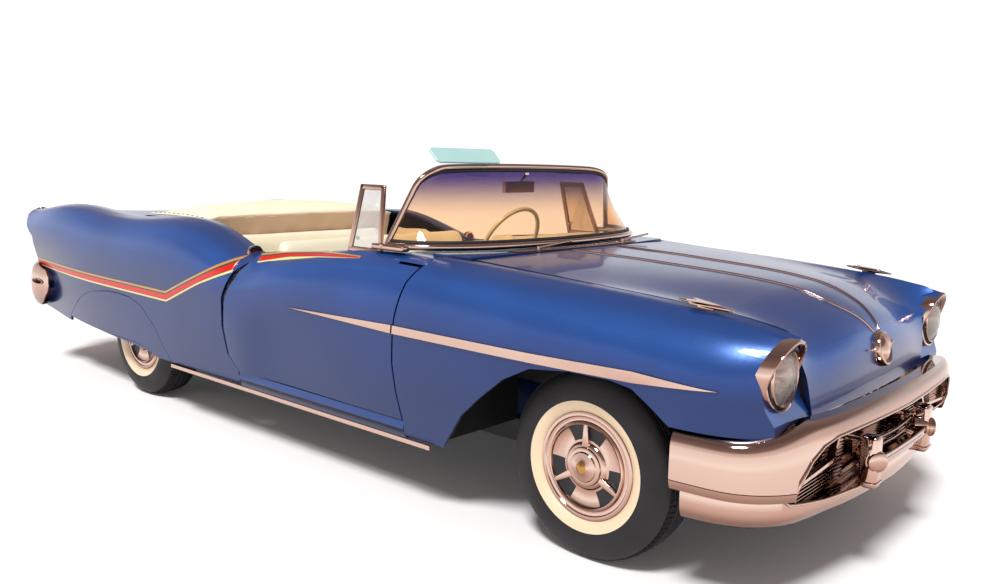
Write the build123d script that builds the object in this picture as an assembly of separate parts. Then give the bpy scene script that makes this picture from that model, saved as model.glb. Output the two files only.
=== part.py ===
from build123d import *
from math import cos, hypot, pi, radians, sin, tan
import os

os.makedirs("parts", exist_ok=True)

# A full-size two-door convertible car with its top folded under a soft cover.
# Millimetres. +Z up, front towards -Y, +X the driver's left side, origin on the
# ground below the middle of the overall box. The shapes below are drawn with y
# measured rearward from the front axle, and moved at the end by front_axle_y.

# Overall
overall_length = 5504
overall_width = 1941
wheelbase = 3213
front_overhang = 845
front_axle_y = front_overhang - overall_length / 2
front_track = 1499
rear_track = 1473
rear_end_y = overall_length - front_overhang

# Gaps and sheet thickness
panel_gap = 8
door_gap = 9
sheet = 14
fit_clearance = 0.5

# Wheels and tyres
tyre_radius = 352
tyre_width = 229
rim_radius = 182
rim_width = 160
cover_radius = 199
hub_radius = 60
bore_radius = 34

# Steering and hinges
kingpin_x = 620
kingpin_radius = 13
arm_eye_radius = 27
upper_eye_z = tyre_radius + 118
lower_eye_z = tyre_radius - 112
door_hinge_x = 952
door_hinge_y = 942
hood_hinge_y = 662
hood_hinge_z = 1062
lid_hinge_y = 3345
lid_hinge_z = 1050

# Cabin and shell heights
sill_z = 356
rocker_bottom_z = 275
rail_top_z = 290
floor_thickness = 12
tunnel_half_width = 100
tunnel_top_z = 470
hood_half_width = 737
seat_half_width = 700


# Curve through points with shared tangents, as one cubic edge for each step.
def smooth_edges(points, stiffness=0.36):
    spots = [Vector(*p) for p in points]
    last = len(spots) - 1
    tangents = [
        (spots[min(i + 1, last)] - spots[max(i - 1, 0)]).normalized()
        for i in range(last + 1)
    ]
    edges = []
    for i in range(last):
        reach = (spots[i + 1] - spots[i]).length * stiffness
        edges.append(
            Bezier(
                spots[i],
                spots[i] + tangents[i] * reach,
                spots[i + 1] - tangents[i + 1] * reach,
                spots[i + 1],
            ).edge()
        )
    return edges


# The same points moved sideways by the wall's thickness, to the right of travel.
def offset_points(points, wall):
    last = len(points) - 1
    moved = []
    for i, (u, v) in enumerate(points):
        before = points[max(i - 1, 0)]
        after = points[min(i + 1, last)]
        du, dv = after[0] - before[0], after[1] - before[1]
        length = hypot(du, dv)
        moved.append((u + dv / length * wall, v - du / length * wall))
    return moved


# Closed outline of a bent sheet: an outer curve, its offset, and the two ends.
def sheet_wire(points, wall, place):
    outer = [place(u, v) for u, v in points]
    inner = [place(u, v) for u, v in offset_points(points, wall)]
    ends = [Line(outer[-1], inner[-1]).edge(), Line(inner[0], outer[0]).edge()]
    return Wire(smooth_edges(outer) + [ends[0]] + smooth_edges(inner[::-1]) + [ends[1]])


# Closed outline of a thick panel: an outer curve and a straight inner face.
def slab_wire(points, inner_u, place):
    outer = [place(u, v) for u, v in points]
    low = place(inner_u, points[-1][1])
    high = place(inner_u, points[0][1])
    lines = [Line(outer[-1], low).edge(), Line(low, high).edge(), Line(high, outer[0]).edge()]
    return Wire(smooth_edges(outer) + lines)


def cross_section(y):
    return lambda x, z: (x, y, z)


def side_section(x):
    return lambda y, z: (x, y, z)


def plan_section(z):
    return lambda x, y: (x, y, z)


# Solid swept sideways, through the car, from a side-view outline of (y, z) points.
def side_prism(points, x_from, x_to, slant=0.0):
    outline = Polyline(*[(x_from, y, z) for y, z in points], close=True)
    direction = Vector(x_to - x_from, slant * (x_to - x_from), 0)
    return extrude(Face(Wire(outline.edges())), amount=direction.length, dir=direction)


# Solid swept upward from a plan outline of (x, y) points.
def plan_prism(points, z_from, z_to):
    outline = Polyline(*[(x, y, z_from) for x, y in points], close=True)
    return extrude(Face(Wire(outline.edges())), amount=z_to - z_from, dir=(0, 0, 1))


# Solid swept rearward from a front-view outline of (x, z) points.
def front_prism(points, y_from, y_to):
    outline = Polyline(*[(x, y_from, z) for x, z in points], close=True)
    return extrude(Face(Wire(outline.edges())), amount=y_to - y_from, dir=(0, 1, 0))


# Block between two corners.
def block(x_from, x_to, y_from, y_to, z_from, z_to):
    size = Box(x_to - x_from, y_to - y_from, z_to - z_from)
    return Pos((x_from + x_to) / 2, (y_from + y_to) / 2, (z_from + z_to) / 2) * size


# Round bar between two points.
def bar(start, end, radius, end_radius=None):
    start, end = Vector(*start), Vector(*end)
    plane = Plane(origin=start, z_dir=end - start)
    height = (end - start).length
    if end_radius is None:
        body = Cylinder(radius, height, align=(Align.CENTER, Align.CENTER, Align.MIN))
    else:
        body = Cone(radius, end_radius, height, align=(Align.CENTER, Align.CENTER, Align.MIN))
    return plane * body


def mirrored(shape):
    return mirror(shape, about=Plane.YZ)


def pair(shape):
    return Compound([*shape.solids(), *mirrored(shape).solids()])


def export(name, shape):
    placed = Pos(0, front_axle_y, 0) * shape
    export_step(placed, f"parts/{name}.step")


# Side of the body from the headlamp to the door's rear edge.
# Each station: y, then the outer curve from the top inward edge down, as (x, z).
side_stations = [
    (-760, [(743, 905), (775, 885), (800, 830), (808, 770), (796, 680), (745, 290)]),
    (-660, [(743, 928), (790, 910), (846, 850), (872, 770), (863, 670), (815, 290)]),
    (-560, [(743, 948), (800, 932), (876, 868), (918, 770), (914, 660), (868, 290)]),
    (-300, [(743, 974), (805, 964), (892, 900), (946, 795), (941, 640), (905, 290)]),
    (100, [(743, 998), (805, 992), (902, 932), (962, 812), (960, 610), (925, 290)]),
    (500, [(743, 1018), (810, 1012), (906, 955), (966, 820), (964, 600), (925, 290)]),
    (860, [(785, 1036), (835, 1028), (912, 962), (966, 820), (964, 600), (925, 290)]),
    (1300, [(805, 1024), (848, 1013), (918, 950), (966, 815), (962, 600), (922, 290)]),
    (1800, [(805, 968), (850, 958), (925, 900), (968, 800), (962, 600), (922, 290)]),
    (2230, [(805, 912), (850, 903), (930, 855), (970, 770), (962, 600), (922, 290)]),
]
door_inner_x = 812

# Rear quarter from the door's rear edge to the tail, drawn the same way.
quarter_stations = [
    (1960, [(770, 938), (840, 930), (925, 875), (969, 775), (962, 600), (922, 290)]),
    (2200, [(740, 966), (805, 966), (905, 922), (970, 800), (962, 600), (922, 290)]),
    (2480, [(725, 1046), (800, 1048), (895, 1000), (969, 850), (963, 620), (924, 290)]),
    (3000, [(720, 1062), (800, 1068), (890, 1030), (968, 880), (964, 640), (925, 290)]),
    (3800, [(720, 1066), (800, 1071), (885, 1036), (960, 885), (955, 650), (915, 330)]),
    (4300, [(720, 1058), (800, 1066), (880, 1032), (942, 885), (910, 650), (870, 370)]),
    (4700, [(745, 1026), (802, 1034), (862, 1000), (905, 870), (870, 670), (835, 390)]),
]

# Side-view lines, (y, z)
door_front_line = [
    (775, 1075), (786, 1045), (855, 933), (884, 778), (899, 598), (887, 472), (862, 356),
]
door_rear_line = [
    (1935, 990), (1993, 931), (2086, 853), (2150, 720), (2170, 570), (2147, 430), (2066, 356),
]
front_arch_line = [
    (655, 250), (630, 304), (525, 448), (423, 539), (300, 635), (176, 697), (8, 716),
    (-158, 714), (-241, 699), (-311, 650), (-387, 591), (-700, 560), (-700, 250),
]
skirt_line = [
    (2722, 289), (2798, 372), (2872, 472), (2988, 568), (3112, 604), (3240, 611),
    (3367, 609), (3594, 583), (3764, 526), (3880, 455), (3987, 377), (3454, 347),
    (3107, 344), (3005, 330), (2850, 280),
]
tail_line = [
    (4590, 1040), (4654, 1021), (4685, 985), (4629, 913), (4551, 871), (4500, 850),
    (4490, 700), (4500, 380),
]
side_reach = 1100
skirt_gap = 5


# Points pushed out from a centre by a share, for the gap round a cut panel.
def grown(points, gap):
    mid_y = sum(p[0] for p in points) / len(points)
    mid_z = sum(p[1] for p in points) / len(points)
    out = []
    for y, z in points:
        length = hypot(y - mid_y, z - mid_z)
        out.append((y + (y - mid_y) / length * gap, z + (z - mid_z) / length * gap))
    return out


def side_loft(stations, wall=None, inner_x=None):
    if wall is not None:
        wires = [sheet_wire(rows, wall, cross_section(y)) for y, rows in stations]
    else:
        wires = [slab_wire(rows, inner_x, cross_section(y)) for y, rows in stations]
    return Solid.make_loft(wires)


# Side-view line of the headlamp's raked face, (y, z), and the lamp in it
bezel_rake = [(-728, 1000), (-722, 920), (-655, 770), (-668, 690), (-690, 640), (-690, 500)]
lamp_x = 748
lamp_z = 782
lamp_radius = 89
bezel_depth = 16
housing_back_y = -430
chin_z = 598

# Front-view seam between the hood's nose and the fender, (x, z)
nose_seam = [(739, 960), (738, 915), (700, 895), (640, 830), (610, 760), (592, 690), (560, 600)]


def front_fender():
    skin = side_loft(side_stations, wall=sheet)
    behind = [*door_front_line, (862, 200), (2400, 200), (2400, 1100)]
    skin -= side_prism(behind, 600, side_reach)
    skin -= side_prism(front_arch_line, 600, side_reach)
    # Headlamp housing: full section ahead of the wheel arch, cut at the lamp's raked plane
    housing = side_loft(side_stations, inner_x=500)
    housing -= block(400, 1200, housing_back_y, 3000, 0, 1200)
    outside = [*nose_seam, (1200, 600 - 60), (1200, 1100), (739, 1100)]
    housing &= front_prism([(x + panel_gap * 0.5, z) for x, z in outside], -900, -300)
    housing -= side_prism([(-900, 1000), *bezel_rake, (-900, 500)], 400, side_reach)
    housing -= block(400, 1100, -900, -400, 200, chin_z)
    housing -= Pos(lamp_x, -700, lamp_z) * Rot(90, 0, 0) * Cylinder(lamp_radius + 1, 300)
    skin -= block(600, 1100, -900, housing_back_y, 500, 1100)
    skin -= block(600, 1100, -900, -380, 200, chin_z)
    skin -= block(600, 743, housing_back_y, 700, 600, 1100)
    return skin + housing


def door():
    slab = side_loft(side_stations, inner_x=740)
    slab -= block(600, door_inner_x, 0, 2400, 200, 1100)
    ahead = [
        (y + door_gap, z) for y, z in door_front_line
    ]
    slab -= side_prism([*ahead, (862 + door_gap, 200), (-800, 200), (-800, 1100)], 600, side_reach)
    behind = [(y - door_gap, z) for y, z in door_rear_line]
    slab -= side_prism([*behind, (2060, 200), (2500, 200), (2500, 1100)], side_reach, 600, slant=0.15)
    slab -= block(600, side_reach, 0, 2400, 200, sill_z)
    slab -= block(600, 885, 700, 955, 200, 1100)
    return slab


def quarter():
    skin = side_loft(quarter_stations, wall=sheet)
    ahead = [*door_rear_line, (2066, 340), (2066, 200), (1500, 200), (1500, 1100)]
    skin -= side_prism(ahead, 600, side_reach)
    skin -= side_prism(grown(skirt_line, skirt_gap), 600, side_reach)
    skin -= side_prism([(2722, 200), (2722, 300), (3990, 375), (3990, 200)], 600, side_reach)
    skin -= side_prism([*tail_line, (5000, 380), (5000, 1100), (4590, 1100)], 600, side_reach)
    return skin


def skirt():
    skin = side_loft(quarter_stations, wall=sheet)
    return skin & side_prism(skirt_line, 600, side_reach)


# Rocker below the door, joining the fender to the quarter.
def rocker():
    section = [(925, 350), (930, 320), (912, 275), (800, 285), (800, 350)]
    return front_prism(section, 866, 2062)


# Hood: side-view curves across the width, (y, z) from the rear edge to the nose.
hood_stations = [
    (0, [(590, 1042), (130, 1028), (-400, 989), (-600, 922), (-690, 850), (-722, 770), (-722, 625)]),
    (300, [(600, 1040), (130, 1024), (-400, 977), (-590, 905), (-680, 840), (-714, 765), (-716, 625)]),
    (580, [(625, 1034), (130, 1010), (-400, 950), (-570, 895), (-655, 832), (-690, 760), (-700, 625)]),
    (737, [(652, 1030), (130, 1001), (-400, 967), (-600, 943), (-690, 915), (-705, 850), (-705, 625)]),
]
hood_thickness = 16


def hood_shell(thickness, drop=0):
    stations = [*[(-x, rows) for x, rows in hood_stations[:0:-1]], *hood_stations]
    wires = []
    for x, rows in stations:
        lowered = [(y, z - drop) for y, z in rows[::-1]]
        wires.append(sheet_wire(lowered, thickness, side_section(x)))
    return Solid.make_loft(wires)


def hood():
    shell = hood_shell(hood_thickness)
    corner = [*nose_seam, (560, 500), (900, 500), (900, 960)]
    cut = front_prism(corner, -900, -400)
    shell -= cut
    shell -= mirrored(cut)
    return shell


def hood_trim():
    strip = hood_shell(hood_thickness) & block(-9, 9, -800, 620, 700, 1100)
    strip = Pos(0, 0, 5) * strip
    strip -= hood_shell(hood_thickness)
    boss = Pos(0, -716, 775) * Rot(90, 0, 0) * Cylinder(70, 36)
    boss -= hood_shell(hood_thickness)
    front = max(boss.solids(), key=lambda s: s.volume)
    top = max(strip.solids(), key=lambda s: s.volume)
    return Compound([front, *(top - front).solids()])


# Windshield: plan curves at the base and under the header, (x, y), right half.
glass_base = [(0, 690), (300, 706), (560, 757), (740, 850), (832, 975), (848, 1105)]
glass_head = [(0, 985), (230, 984), (430, 981), (580, 975), (680, 965), (722, 975)]
glass_base_z = 1050
glass_head_z = 1385


# Bent slab along the windshield between two heights and two depths behind its face,
# its ends drawn in by a share of the last step.
def windshield_slab(face, back, z_low, z_high, draw_in=0.0):
    wires = []
    for z in (z_low, z_high):
        share = (z - glass_base_z) / (glass_head_z - glass_base_z)
        half = []
        for (xb, yb), (xh, yh) in zip(glass_base, glass_head):
            half.append((xb + (xh - xb) * share, yb + (yh - yb) * share))
        end_x, end_y = half[-1]
        near_x, near_y = half[-2]
        half[-1] = (end_x - (end_x - near_x) * draw_in, end_y - (end_y - near_y) * draw_in)
        full = full_width(half)
        outer = [(x, y, z) for x, y in offset_points(full, -face)]
        inner = [(x, y, z) for x, y in offset_points(full, -back)]
        ends = [Line(outer[-1], inner[-1]).edge(), Line(inner[0], outer[0]).edge()]
        wires.append(Wire(smooth_edges(outer) + [ends[0]] + smooth_edges(inner[::-1]) + [ends[1]]))
    return Solid.make_loft(wires, ruled=True)


def windshield_frame():
    slab = windshield_slab(0, 30, 1044, 1412)
    opening = windshield_slab(-30, 60, 1070, 1376, draw_in=0.28)
    return slab - opening


def windshield_glass():
    return windshield_slab(11, 19, 1070.3, 1375.7, draw_in=0.283)


# Cowl between hood and windshield, with the air slots cut as one row.
def cowl_panel():
    top = plan_prism(
        [(-741, 676), (-400, 634), (0, 606), (400, 634), (741, 676), (764, 780), (764, 1040),
         (-764, 1040), (-764, 780)], 1024, 1040)
    curve = [(-x, y - 1, 1000) for x, y in glass_base[:0:-1]] + [(x, y - 1, 1000) for x, y in glass_base]
    far = [(900, 1400, 1000), (-900, 1400, 1000)]
    edges = smooth_edges(curve) + Polyline(curve[-1], *far, curve[0]).edges()
    top -= extrude(Face(Wire(edges)), amount=100, dir=(0, 0, 1))
    for i in range(12):
        x = -275 + i * 50
        top -= block(x - 18, x + 18, 640, 668, 1000, 1100)
    wall = block(-740, 740, 700, 716, rail_top_z + floor_thickness, 1024)
    wall -= block(-tunnel_half_width, tunnel_half_width, 690, 730, 200, tunnel_top_z)
    side = block(740, 752, 700, 1120, rail_top_z + floor_thickness, 1024)
    post = block(752, 790, 1040, 1120, rail_top_z + floor_thickness, 1036)
    sides = side + post
    return top + wall + sides + mirrored(sides)


# Front bumper: plan curve of its face, (x, y), right half.
bumper_face = [(0, -838), (300, -832), (560, -812), (740, -772), (862, -702), (940, -590), (962, -400)]
lower_face = [(0, -806), (300, -790), (560, -752), (720, -712), (822, -640), (880, -540), (905, -412)]


def full_width(half):
    return [(-x, y) for x, y in half[:0:-1]] + half


def bent_bar(half, depth, z_low, z_high):
    wire = sheet_wire(full_width(half), -depth, plan_section(z_low))
    return extrude(Face(wire), amount=z_high - z_low, dir=(0, 0, 1))


def front_bumper():
    upper = bent_bar(bumper_face, 90, 505, 592)
    upper = fillet(upper.edges().filter_by(lambda e: e.length > 150), 26)
    lower = bent_bar(lower_face, 90, 282, 372)
    lower = fillet(lower.edges().filter_by(lambda e: e.length > 150), 22)
    ends = bent_bar(lower_face, 60, 340, 530)
    ends -= block(-600, 600, -1000, 0, 300, 560)
    guards = Part()
    for x in (-280, 280):
        guards += fillet(block(x - 45, x + 45, -842, -740, 330, 560).edges(), 18)
    return upper + lower + ends + guards


def grille():
    panel = Part()
    for i in range(7):
        z = 385 + i * 17
        panel += block(-596, 596, -700, -688, z, z + 8)
    for i in range(11):
        x = -575 + i * 115
        panel += block(x - 4, x + 4, -690, -676, 378, 503)
    return panel


def rear_bumper():
    face = [(0, 4659), (400, 4656), (700, 4640), (860, 4600), (945, 4500), (962, 4380), (950, 4235)]
    wire = sheet_wire(full_width(face), 34, plan_section(400))
    shell = extrude(Face(wire), amount=250, dir=(0, 0, 1))
    shell = fillet(shell.edges().filter_by(lambda e: e.length > 130), 12)
    return shell


def headlamp_bezel():
    outline = [(748, 903), (835, 850), (862, 785), (835, 715), (760, 678), (668, 700), (632, 770), (660, 850)]
    points = [(x, -800, z) for x, z in outline]
    ring = extrude(Face(Wire(smooth_edges([*points, points[0]]))), amount=200, dir=(0, 1, 0))
    ring -= Pos(lamp_x, -700, lamp_z) * Rot(90, 0, 0) * Cylinder(lamp_radius + 1, 400)
    face = [(y - 0.3, z) for y, z in bezel_rake]
    front = [(y - bezel_depth, z) for y, z in bezel_rake[::-1]]
    return ring & side_prism(face + front, 400, side_reach)


def headlamp():
    return Pos(lamp_x, -662, lamp_z) * Rot(90, 0, 0) * Cylinder(lamp_radius, 50)


def tail_lamp():
    return block(780, 840, 4508, 4548, 780, 840)


def trunk_lid():
    rows = [
        (3352, [(-714, 1052), (-500, 1030), (0, 1022), (500, 1030), (714, 1052)]),
        (3900, [(-714, 1052), (-500, 1026), (0, 1016), (500, 1026), (714, 1052)]),
        (4350, [(-714, 1046), (-500, 1016), (0, 1000), (500, 1016), (714, 1046)]),
        (4500, [(-714, 1000), (-500, 980), (0, 960), (500, 980), (714, 1000)]),
    ]
    wires = [sheet_wire(points, hood_thickness, cross_section(y)) for y, points in rows]
    top = Solid.make_loft(wires)
    apron = block(-714, 714, 4488, 4500, 815, 950)
    return top + apron


def rear_panels():
    deck = block(-714, 714, 3250, 3344, 1006, 1020)
    tail = block(-820, 820, 4466, 4482, 520, 800)
    seat_wall = block(-570, 570, 2800, 2812, 520, 1000)
    return Compound([*deck.solids(), *tail.solids(), *seat_wall.solids()])


# Flank moulding outline, (y, z)
spear_line = [
    (-545, 742), (-250, 760), (180, 756), (900, 756), (1595, 741), (900, 722), (180, 722), (-250, 722),
]
trim_stand_off = 0.5
trim_proud = 9


def spear():
    moulding = side_loft(side_stations, wall=-trim_proud) & side_prism(spear_line, 600, side_reach)
    return Pos(trim_stand_off, 0, 0) * moulding


def fender_spear():
    return spear() - side_prism([*door_front_line, (862, 200), (2400, 200), (2400, 1100)], 600, side_reach)


def door_spear():
    ahead = [(y + door_gap, z) for y, z in door_front_line]
    return spear() - side_prism([*ahead, (862 + door_gap, 200), (-800, 200), (-800, 1100)], 600, side_reach)


def sill_strip():
    return front_prism([(931, 266), (940, 266), (940, 284), (931, 284)], 700, 2700)


def fender_ornament():
    return bar((772, -500, 985), (772, -330, 998), 5, 12)


# Tyre and wheel turn about X at the origin, and are placed at each corner.
def tyre():
    half = tyre_width / 2
    with BuildPart() as ring:
        with BuildSketch(Plane.XZ):
            with BuildLine():
                Polyline((-rim_width / 2, rim_radius), (-rim_width / 2 - 9, rim_radius + 19), (-half + 8, 226),
                         (-half, 265), (-half + 22, 335), (-70, tyre_radius), (70, tyre_radius),
                         (half - 22, 335), (half, 265), (half - 8, 226),
                         (rim_width / 2 + 9, rim_radius + 19), (rim_width / 2, rim_radius), close=True)
            make_face()
        revolve(axis=Axis.X)
    return ring.part


def wheel():
    half = rim_width / 2
    with BuildPart() as body:
        with BuildSketch(Plane.XZ):
            with BuildLine():
                Polyline((-half, rim_radius), (-half, rim_radius - 14), (-20, 152), (20, 112), (22, bore_radius),
                         (44, bore_radius), (44, 60), (88, 64), (100, 50), (104, 24), (112, 0),
                         (118, 0), (112, 30), (104, 70), (94, 120), (99, 160), (97, 196), (92, 198),
                         (88, 196), (half, rim_radius), close=True)
            make_face()
        revolve(axis=Axis.X)
    drum = Rot(0, 90, 0) * (Pos(0, 0, -44) * Cylinder(140, 44) - Pos(0, 0, -50) * Cylinder(128, 44))
    drum -= Rot(0, 90, 0) * Cylinder(bore_radius + 4, 300)
    web = Rot(0, 90, 0) * (Pos(0, 0, -6) * Cylinder(60, 60) - Cylinder(bore_radius, 300))
    return body.part + drum + web


def wheel_corner(side, front):
    track = front_track if front else rear_track
    y = 0 if front else wheelbase
    return side * track / 2, y, tyre_radius


# Steering knuckle: upright with its two pins on the kingpin's line, arm, backing plate and spindle.
def knuckle():
    upright = block(kingpin_x - 18, kingpin_x + 30, -26, 26, lower_eye_z + 20, upper_eye_z - 20)
    pin = bar((kingpin_x, 0, lower_eye_z - 18), (kingpin_x, 0, upper_eye_z + 18), kingpin_radius)
    hub_x = front_track / 2
    spindle = bar((kingpin_x, 0, tyre_radius), (hub_x - 40, 0, tyre_radius), 30)
    spindle += bar((hub_x - 40, 0, tyre_radius), (hub_x + 46, 0, tyre_radius), bore_radius - fit_clearance)
    plate = bar((hub_x - 88, 0, tyre_radius), (hub_x - 80, 0, tyre_radius), 150)
    arm = bar((kingpin_x + 5, 0, 300), (kingpin_x - 30, 170, 290), 12)
    return upright + pin + spindle + plate + arm


def front_suspension():
    members = []
    for z, inner_x in ((upper_eye_z, tower_x), (lower_eye_z, rail_outer_x)):
        eye = Pos(kingpin_x, 0, z) * Cylinder(arm_eye_radius, 26)
        web = plan_prism([(kingpin_x, -16), (kingpin_x, 16), (inner_x, 100), (inner_x, -100)], z - 9, z + 9)
        members.append(eye + web - Pos(kingpin_x, 0, z) * Cylinder(kingpin_radius + fit_clearance, 60))
    return pair(Compound([solid for arm in members for solid in arm.solids()]))


rail_inner_x = 315
rail_outer_x = 400
tower_x = 470


def frame_rails():
    outline = [
        (-668, 300), (-668, 420), (-430, 420), (300, 400), (620, rail_top_z), (2670, rail_top_z),
        (2864, 470), (3550, 470), (3750, 400), (4420, 400), (4420, 310), (3700, 310), (3500, 400),
        (2900, 400), (2700, 190), (560, 190), (240, 300),
    ]
    rail = side_prism(outline, rail_inner_x, rail_outer_x)
    tower = block(rail_outer_x, tower_x, -100, 100, 300, upper_eye_z + 12)
    side = rail + tower
    frame = side + mirrored(side)
    frame += block(-rail_outer_x, rail_outer_x, -110, 110, 200, 301)
    frame += block(-rail_inner_x, rail_inner_x, 1500, 1600, 236, rail_top_z)
    frame += block(-rail_inner_x, rail_inner_x, 4340, 4420, 320, 400)
    return frame


def floor_pan():
    low, top = rail_top_z, rail_top_z + floor_thickness
    flat = block(-800, 800, 700, 2640, low, top)
    ramp = side_prism([(2640, low), (2640, top), (2840, 492), (4440, 492), (4440, 480), (2846, 480), (2652, low)],
                      -560, 560)
    pan = flat + ramp
    pan -= block(-tunnel_half_width, tunnel_half_width, 600, 2835, 200, tunnel_top_z)
    tunnel = block(-tunnel_half_width, tunnel_half_width, 700, 2835, low, tunnel_top_z)
    tunnel -= block(-tunnel_half_width + floor_thickness, tunnel_half_width - floor_thickness, 600, 2900,
                    200, tunnel_top_z - floor_thickness)
    return pan + tunnel


def inner_fenders():
    apron = side_prism([(-440, 490), (-440, 880), (690, 960), (690, 490)], 425, 437)
    splash = block(437, 890, 660, 672, 305, 880)
    well = Rot(0, 90, 0) * (Cylinder(400, 330) - Cylinder(390, 340))
    well = Pos(735, wheelbase, tyre_radius) * well
    well &= block(500, 900, 2700, 3800, 505, 800)
    return pair(Compound([*(apron + splash).solids(), *well.solids()]))


def dashboard():
    rows = [(1000, 1030), (1090, 1020), (1130, 960), (1120, 860), (1060, 800), (960, 800), (900, 960), (900, 1018)]
    return side_prism(rows, -736, 736) - steering_column_bore()


def steering_wheel():
    hub = Cylinder(38, 50)
    rim = Torus(212, 12)
    spokes = Box(410, 26, 10)
    return rim + hub + spokes


column_tilt = 62
column_foot = (380, 760, 640)
wheel_place = (380, 1420, 980)


def column_axis():
    a, b = Vector(*column_foot), Vector(*wheel_place)
    return (b - a).normalized()


def placed_steering_wheel():
    plane = Plane(origin=wheel_place, x_dir=(1, 0, 0), z_dir=column_axis())
    return plane * steering_wheel()


def steering_column():
    direction = column_axis()
    top = Vector(*wheel_place) - direction * 26
    return bar(column_foot, (top.X, top.Y, top.Z), 26, 30)


def steering_column_bore():
    a, b = Vector(*column_foot), Vector(*wheel_place)
    return bar((a.X, a.Y, a.Z), (b.X, b.Y, b.Z), 34)


def bench(y_front, y_back, seat_z, top_z, floor_level, half):
    cushion = [
        (y_front, floor_level), (y_front - 20, seat_z - 60), (y_front + 20, seat_z), (y_back - 60, seat_z - 30),
        (y_back, top_z), (y_back + 90, top_z - 10), (y_back + 90, floor_level),
    ]
    tunnel = block(-tunnel_half_width - 6, tunnel_half_width + 6, 600, 3000, 200, tunnel_top_z + 4)
    return side_prism(cushion, -half, half) - tunnel


def boot_cover():
    rows = [
        (2745, [(-706, 1062), (-600, 1085), (0, 1105), (600, 1085), (706, 1062)]),
        (2900, [(-706, 1070), (-600, 1120), (0, 1145), (600, 1120), (706, 1070)]),
        (3190, [(-706, 1072), (-600, 1090), (0, 1105), (600, 1090), (706, 1072)]),
        (3330, [(-704, 1064), (-600, 1064), (0, 1060), (600, 1064), (704, 1064)]),
    ]
    wires = [sheet_wire(points, 30, cross_section(y)) for y, points in rows]
    return Solid.make_loft(wires)


def mirror_inside():
    glass = block(-110, 110, 1042, 1062, 1275, 1330)
    stalk = bar((0, 1003, 1370), (0, 1048, 1318), 5)
    foot = block(-14, 14, 997.5, 1006, 1366, 1376)
    return glass + stalk + foot


def sun_visors():
    return side_prism([(985, 1412), (1003, 1412), (1100, 1480), (1090, 1492)], -560, -150)


def wipers():
    arms = Part()
    for x in (-330, 330):
        arms += bar((x, 655, 1056), (x + 290, 684, 1070), 5)
        arms += bar((x, 655, 1040), (x, 655, 1062), 9)
    return arms


def engine_block():
    block_part = block(-280, 280, -330, 480, 330, 860)
    return block_part + bar((0, 470, 370), (0, 980, 370), 80)


def exhaust():
    return bar((240, 600, 205), (240, 2600, 205), 26)


def fuel_tank():
    return block(-300, 300, 3800, 4300, 320, 470)


def propeller_shaft():
    return bar((0, 984, 370), (0, wheelbase - 122, tyre_radius), 36)


def rear_axle():
    hub_x = rear_track / 2
    axle = bar((-hub_x + 90, wheelbase, tyre_radius), (hub_x - 90, wheelbase, tyre_radius), 40)
    axle += bar((-hub_x - 46, wheelbase, tyre_radius), (hub_x + 46, wheelbase, tyre_radius), bore_radius - fit_clearance)
    for side in (1, -1):
        axle += bar((side * (hub_x - 88), wheelbase, tyre_radius), (side * (hub_x - 80), wheelbase, tyre_radius), 150)
        axle += block(side * 530 - 30, side * 530 + 30, 2720, 3790, 286, 314)
    case = bar((-70, wheelbase, tyre_radius), (70, wheelbase, tyre_radius), 120)
    return axle + case


def vent_window():
    low, high = (826, 1118, 1350, 1005), (742, 1195, 1362, 1316)
    wires = []
    for x, y_front, y_rear, z in (low, high):
        wires.append(Wire(Polyline((x - 7, y_front, z), (x + 7, y_front, z), (x + 7, y_rear, z), (x - 7, y_rear, z),
                                   close=True).edges()))
    return Solid.make_loft(wires, ruled=True) - door()


pieces = {
    "front_fender": front_fender,
    "door": door,
    "rear_quarter": quarter,
    "door_spear": door_spear,
    "vent_window": vent_window,
}
for name, build in pieces.items():
    shape = build()
    export(name + "_left", shape)
    export(name + "_right", mirrored(shape))

singles = {
    "fender_skirts": lambda: pair(skirt()),
    "rockers": lambda: pair(rocker()),
    "hood": hood,
    "hood_trim": hood_trim,
    "windshield_frame": windshield_frame,
    "windshield_glass": windshield_glass,
    "cowl": cowl_panel,
    "front_bumper": front_bumper,
    "grille": grille,
    "rear_bumper": rear_bumper,
    "headlamp_bezels": lambda: pair(headlamp_bezel()),
    "headlamps": lambda: pair(headlamp()),
    "tail_lamps": lambda: pair(tail_lamp()),
    "trunk_lid": trunk_lid,
    "rear_panels": rear_panels,
    "fender_spears": lambda: pair(fender_spear()),
    "sill_strips": lambda: pair(sill_strip()),
    "fender_ornaments": lambda: pair(fender_ornament()),
    "frame_rails": frame_rails,
    "floor_pan": floor_pan,
    "inner_fenders": inner_fenders,
    "dashboard": dashboard,
    "steering_wheel": placed_steering_wheel,
    "steering_column": steering_column,
    "front_seat": lambda: bench(1560, 2030, 640, 1000, 310, seat_half_width),
    "rear_seat": lambda: bench(2230, 2640, 650, 980, 500, 560),
    "boot_cover": boot_cover,
    "interior_mirror": mirror_inside,
    "sun_visors": sun_visors,
    "wipers": wipers,
    "engine_block": engine_block,
    "exhaust_system": exhaust,
    "fuel_tank": fuel_tank,
    "propeller_shaft": propeller_shaft,
    "rear_axle": rear_axle,
    "front_suspension": front_suspension,
}
for name, build in singles.items():
    export(name, build())

for side, label in ((1, "left"), (-1, "right")):
    shape = knuckle()
    export("knuckle_" + label, shape if side > 0 else mirrored(shape))
    for front, end in ((True, "front"), (False, "rear")):
        x, y, z = wheel_corner(side, front)
        turn = Rot(0, 0, 0 if side > 0 else 180)
        export(f"tyre_{end}_{label}", Pos(x, y, z) * turn * tyre())
        export(f"wheel_{end}_{label}", Pos(x, y, z) * turn * wheel())
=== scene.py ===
import bpy, bmesh, math
from mathutils import Matrix, Vector, noise
from mathutils.bvhtree import BVHTree


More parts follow.
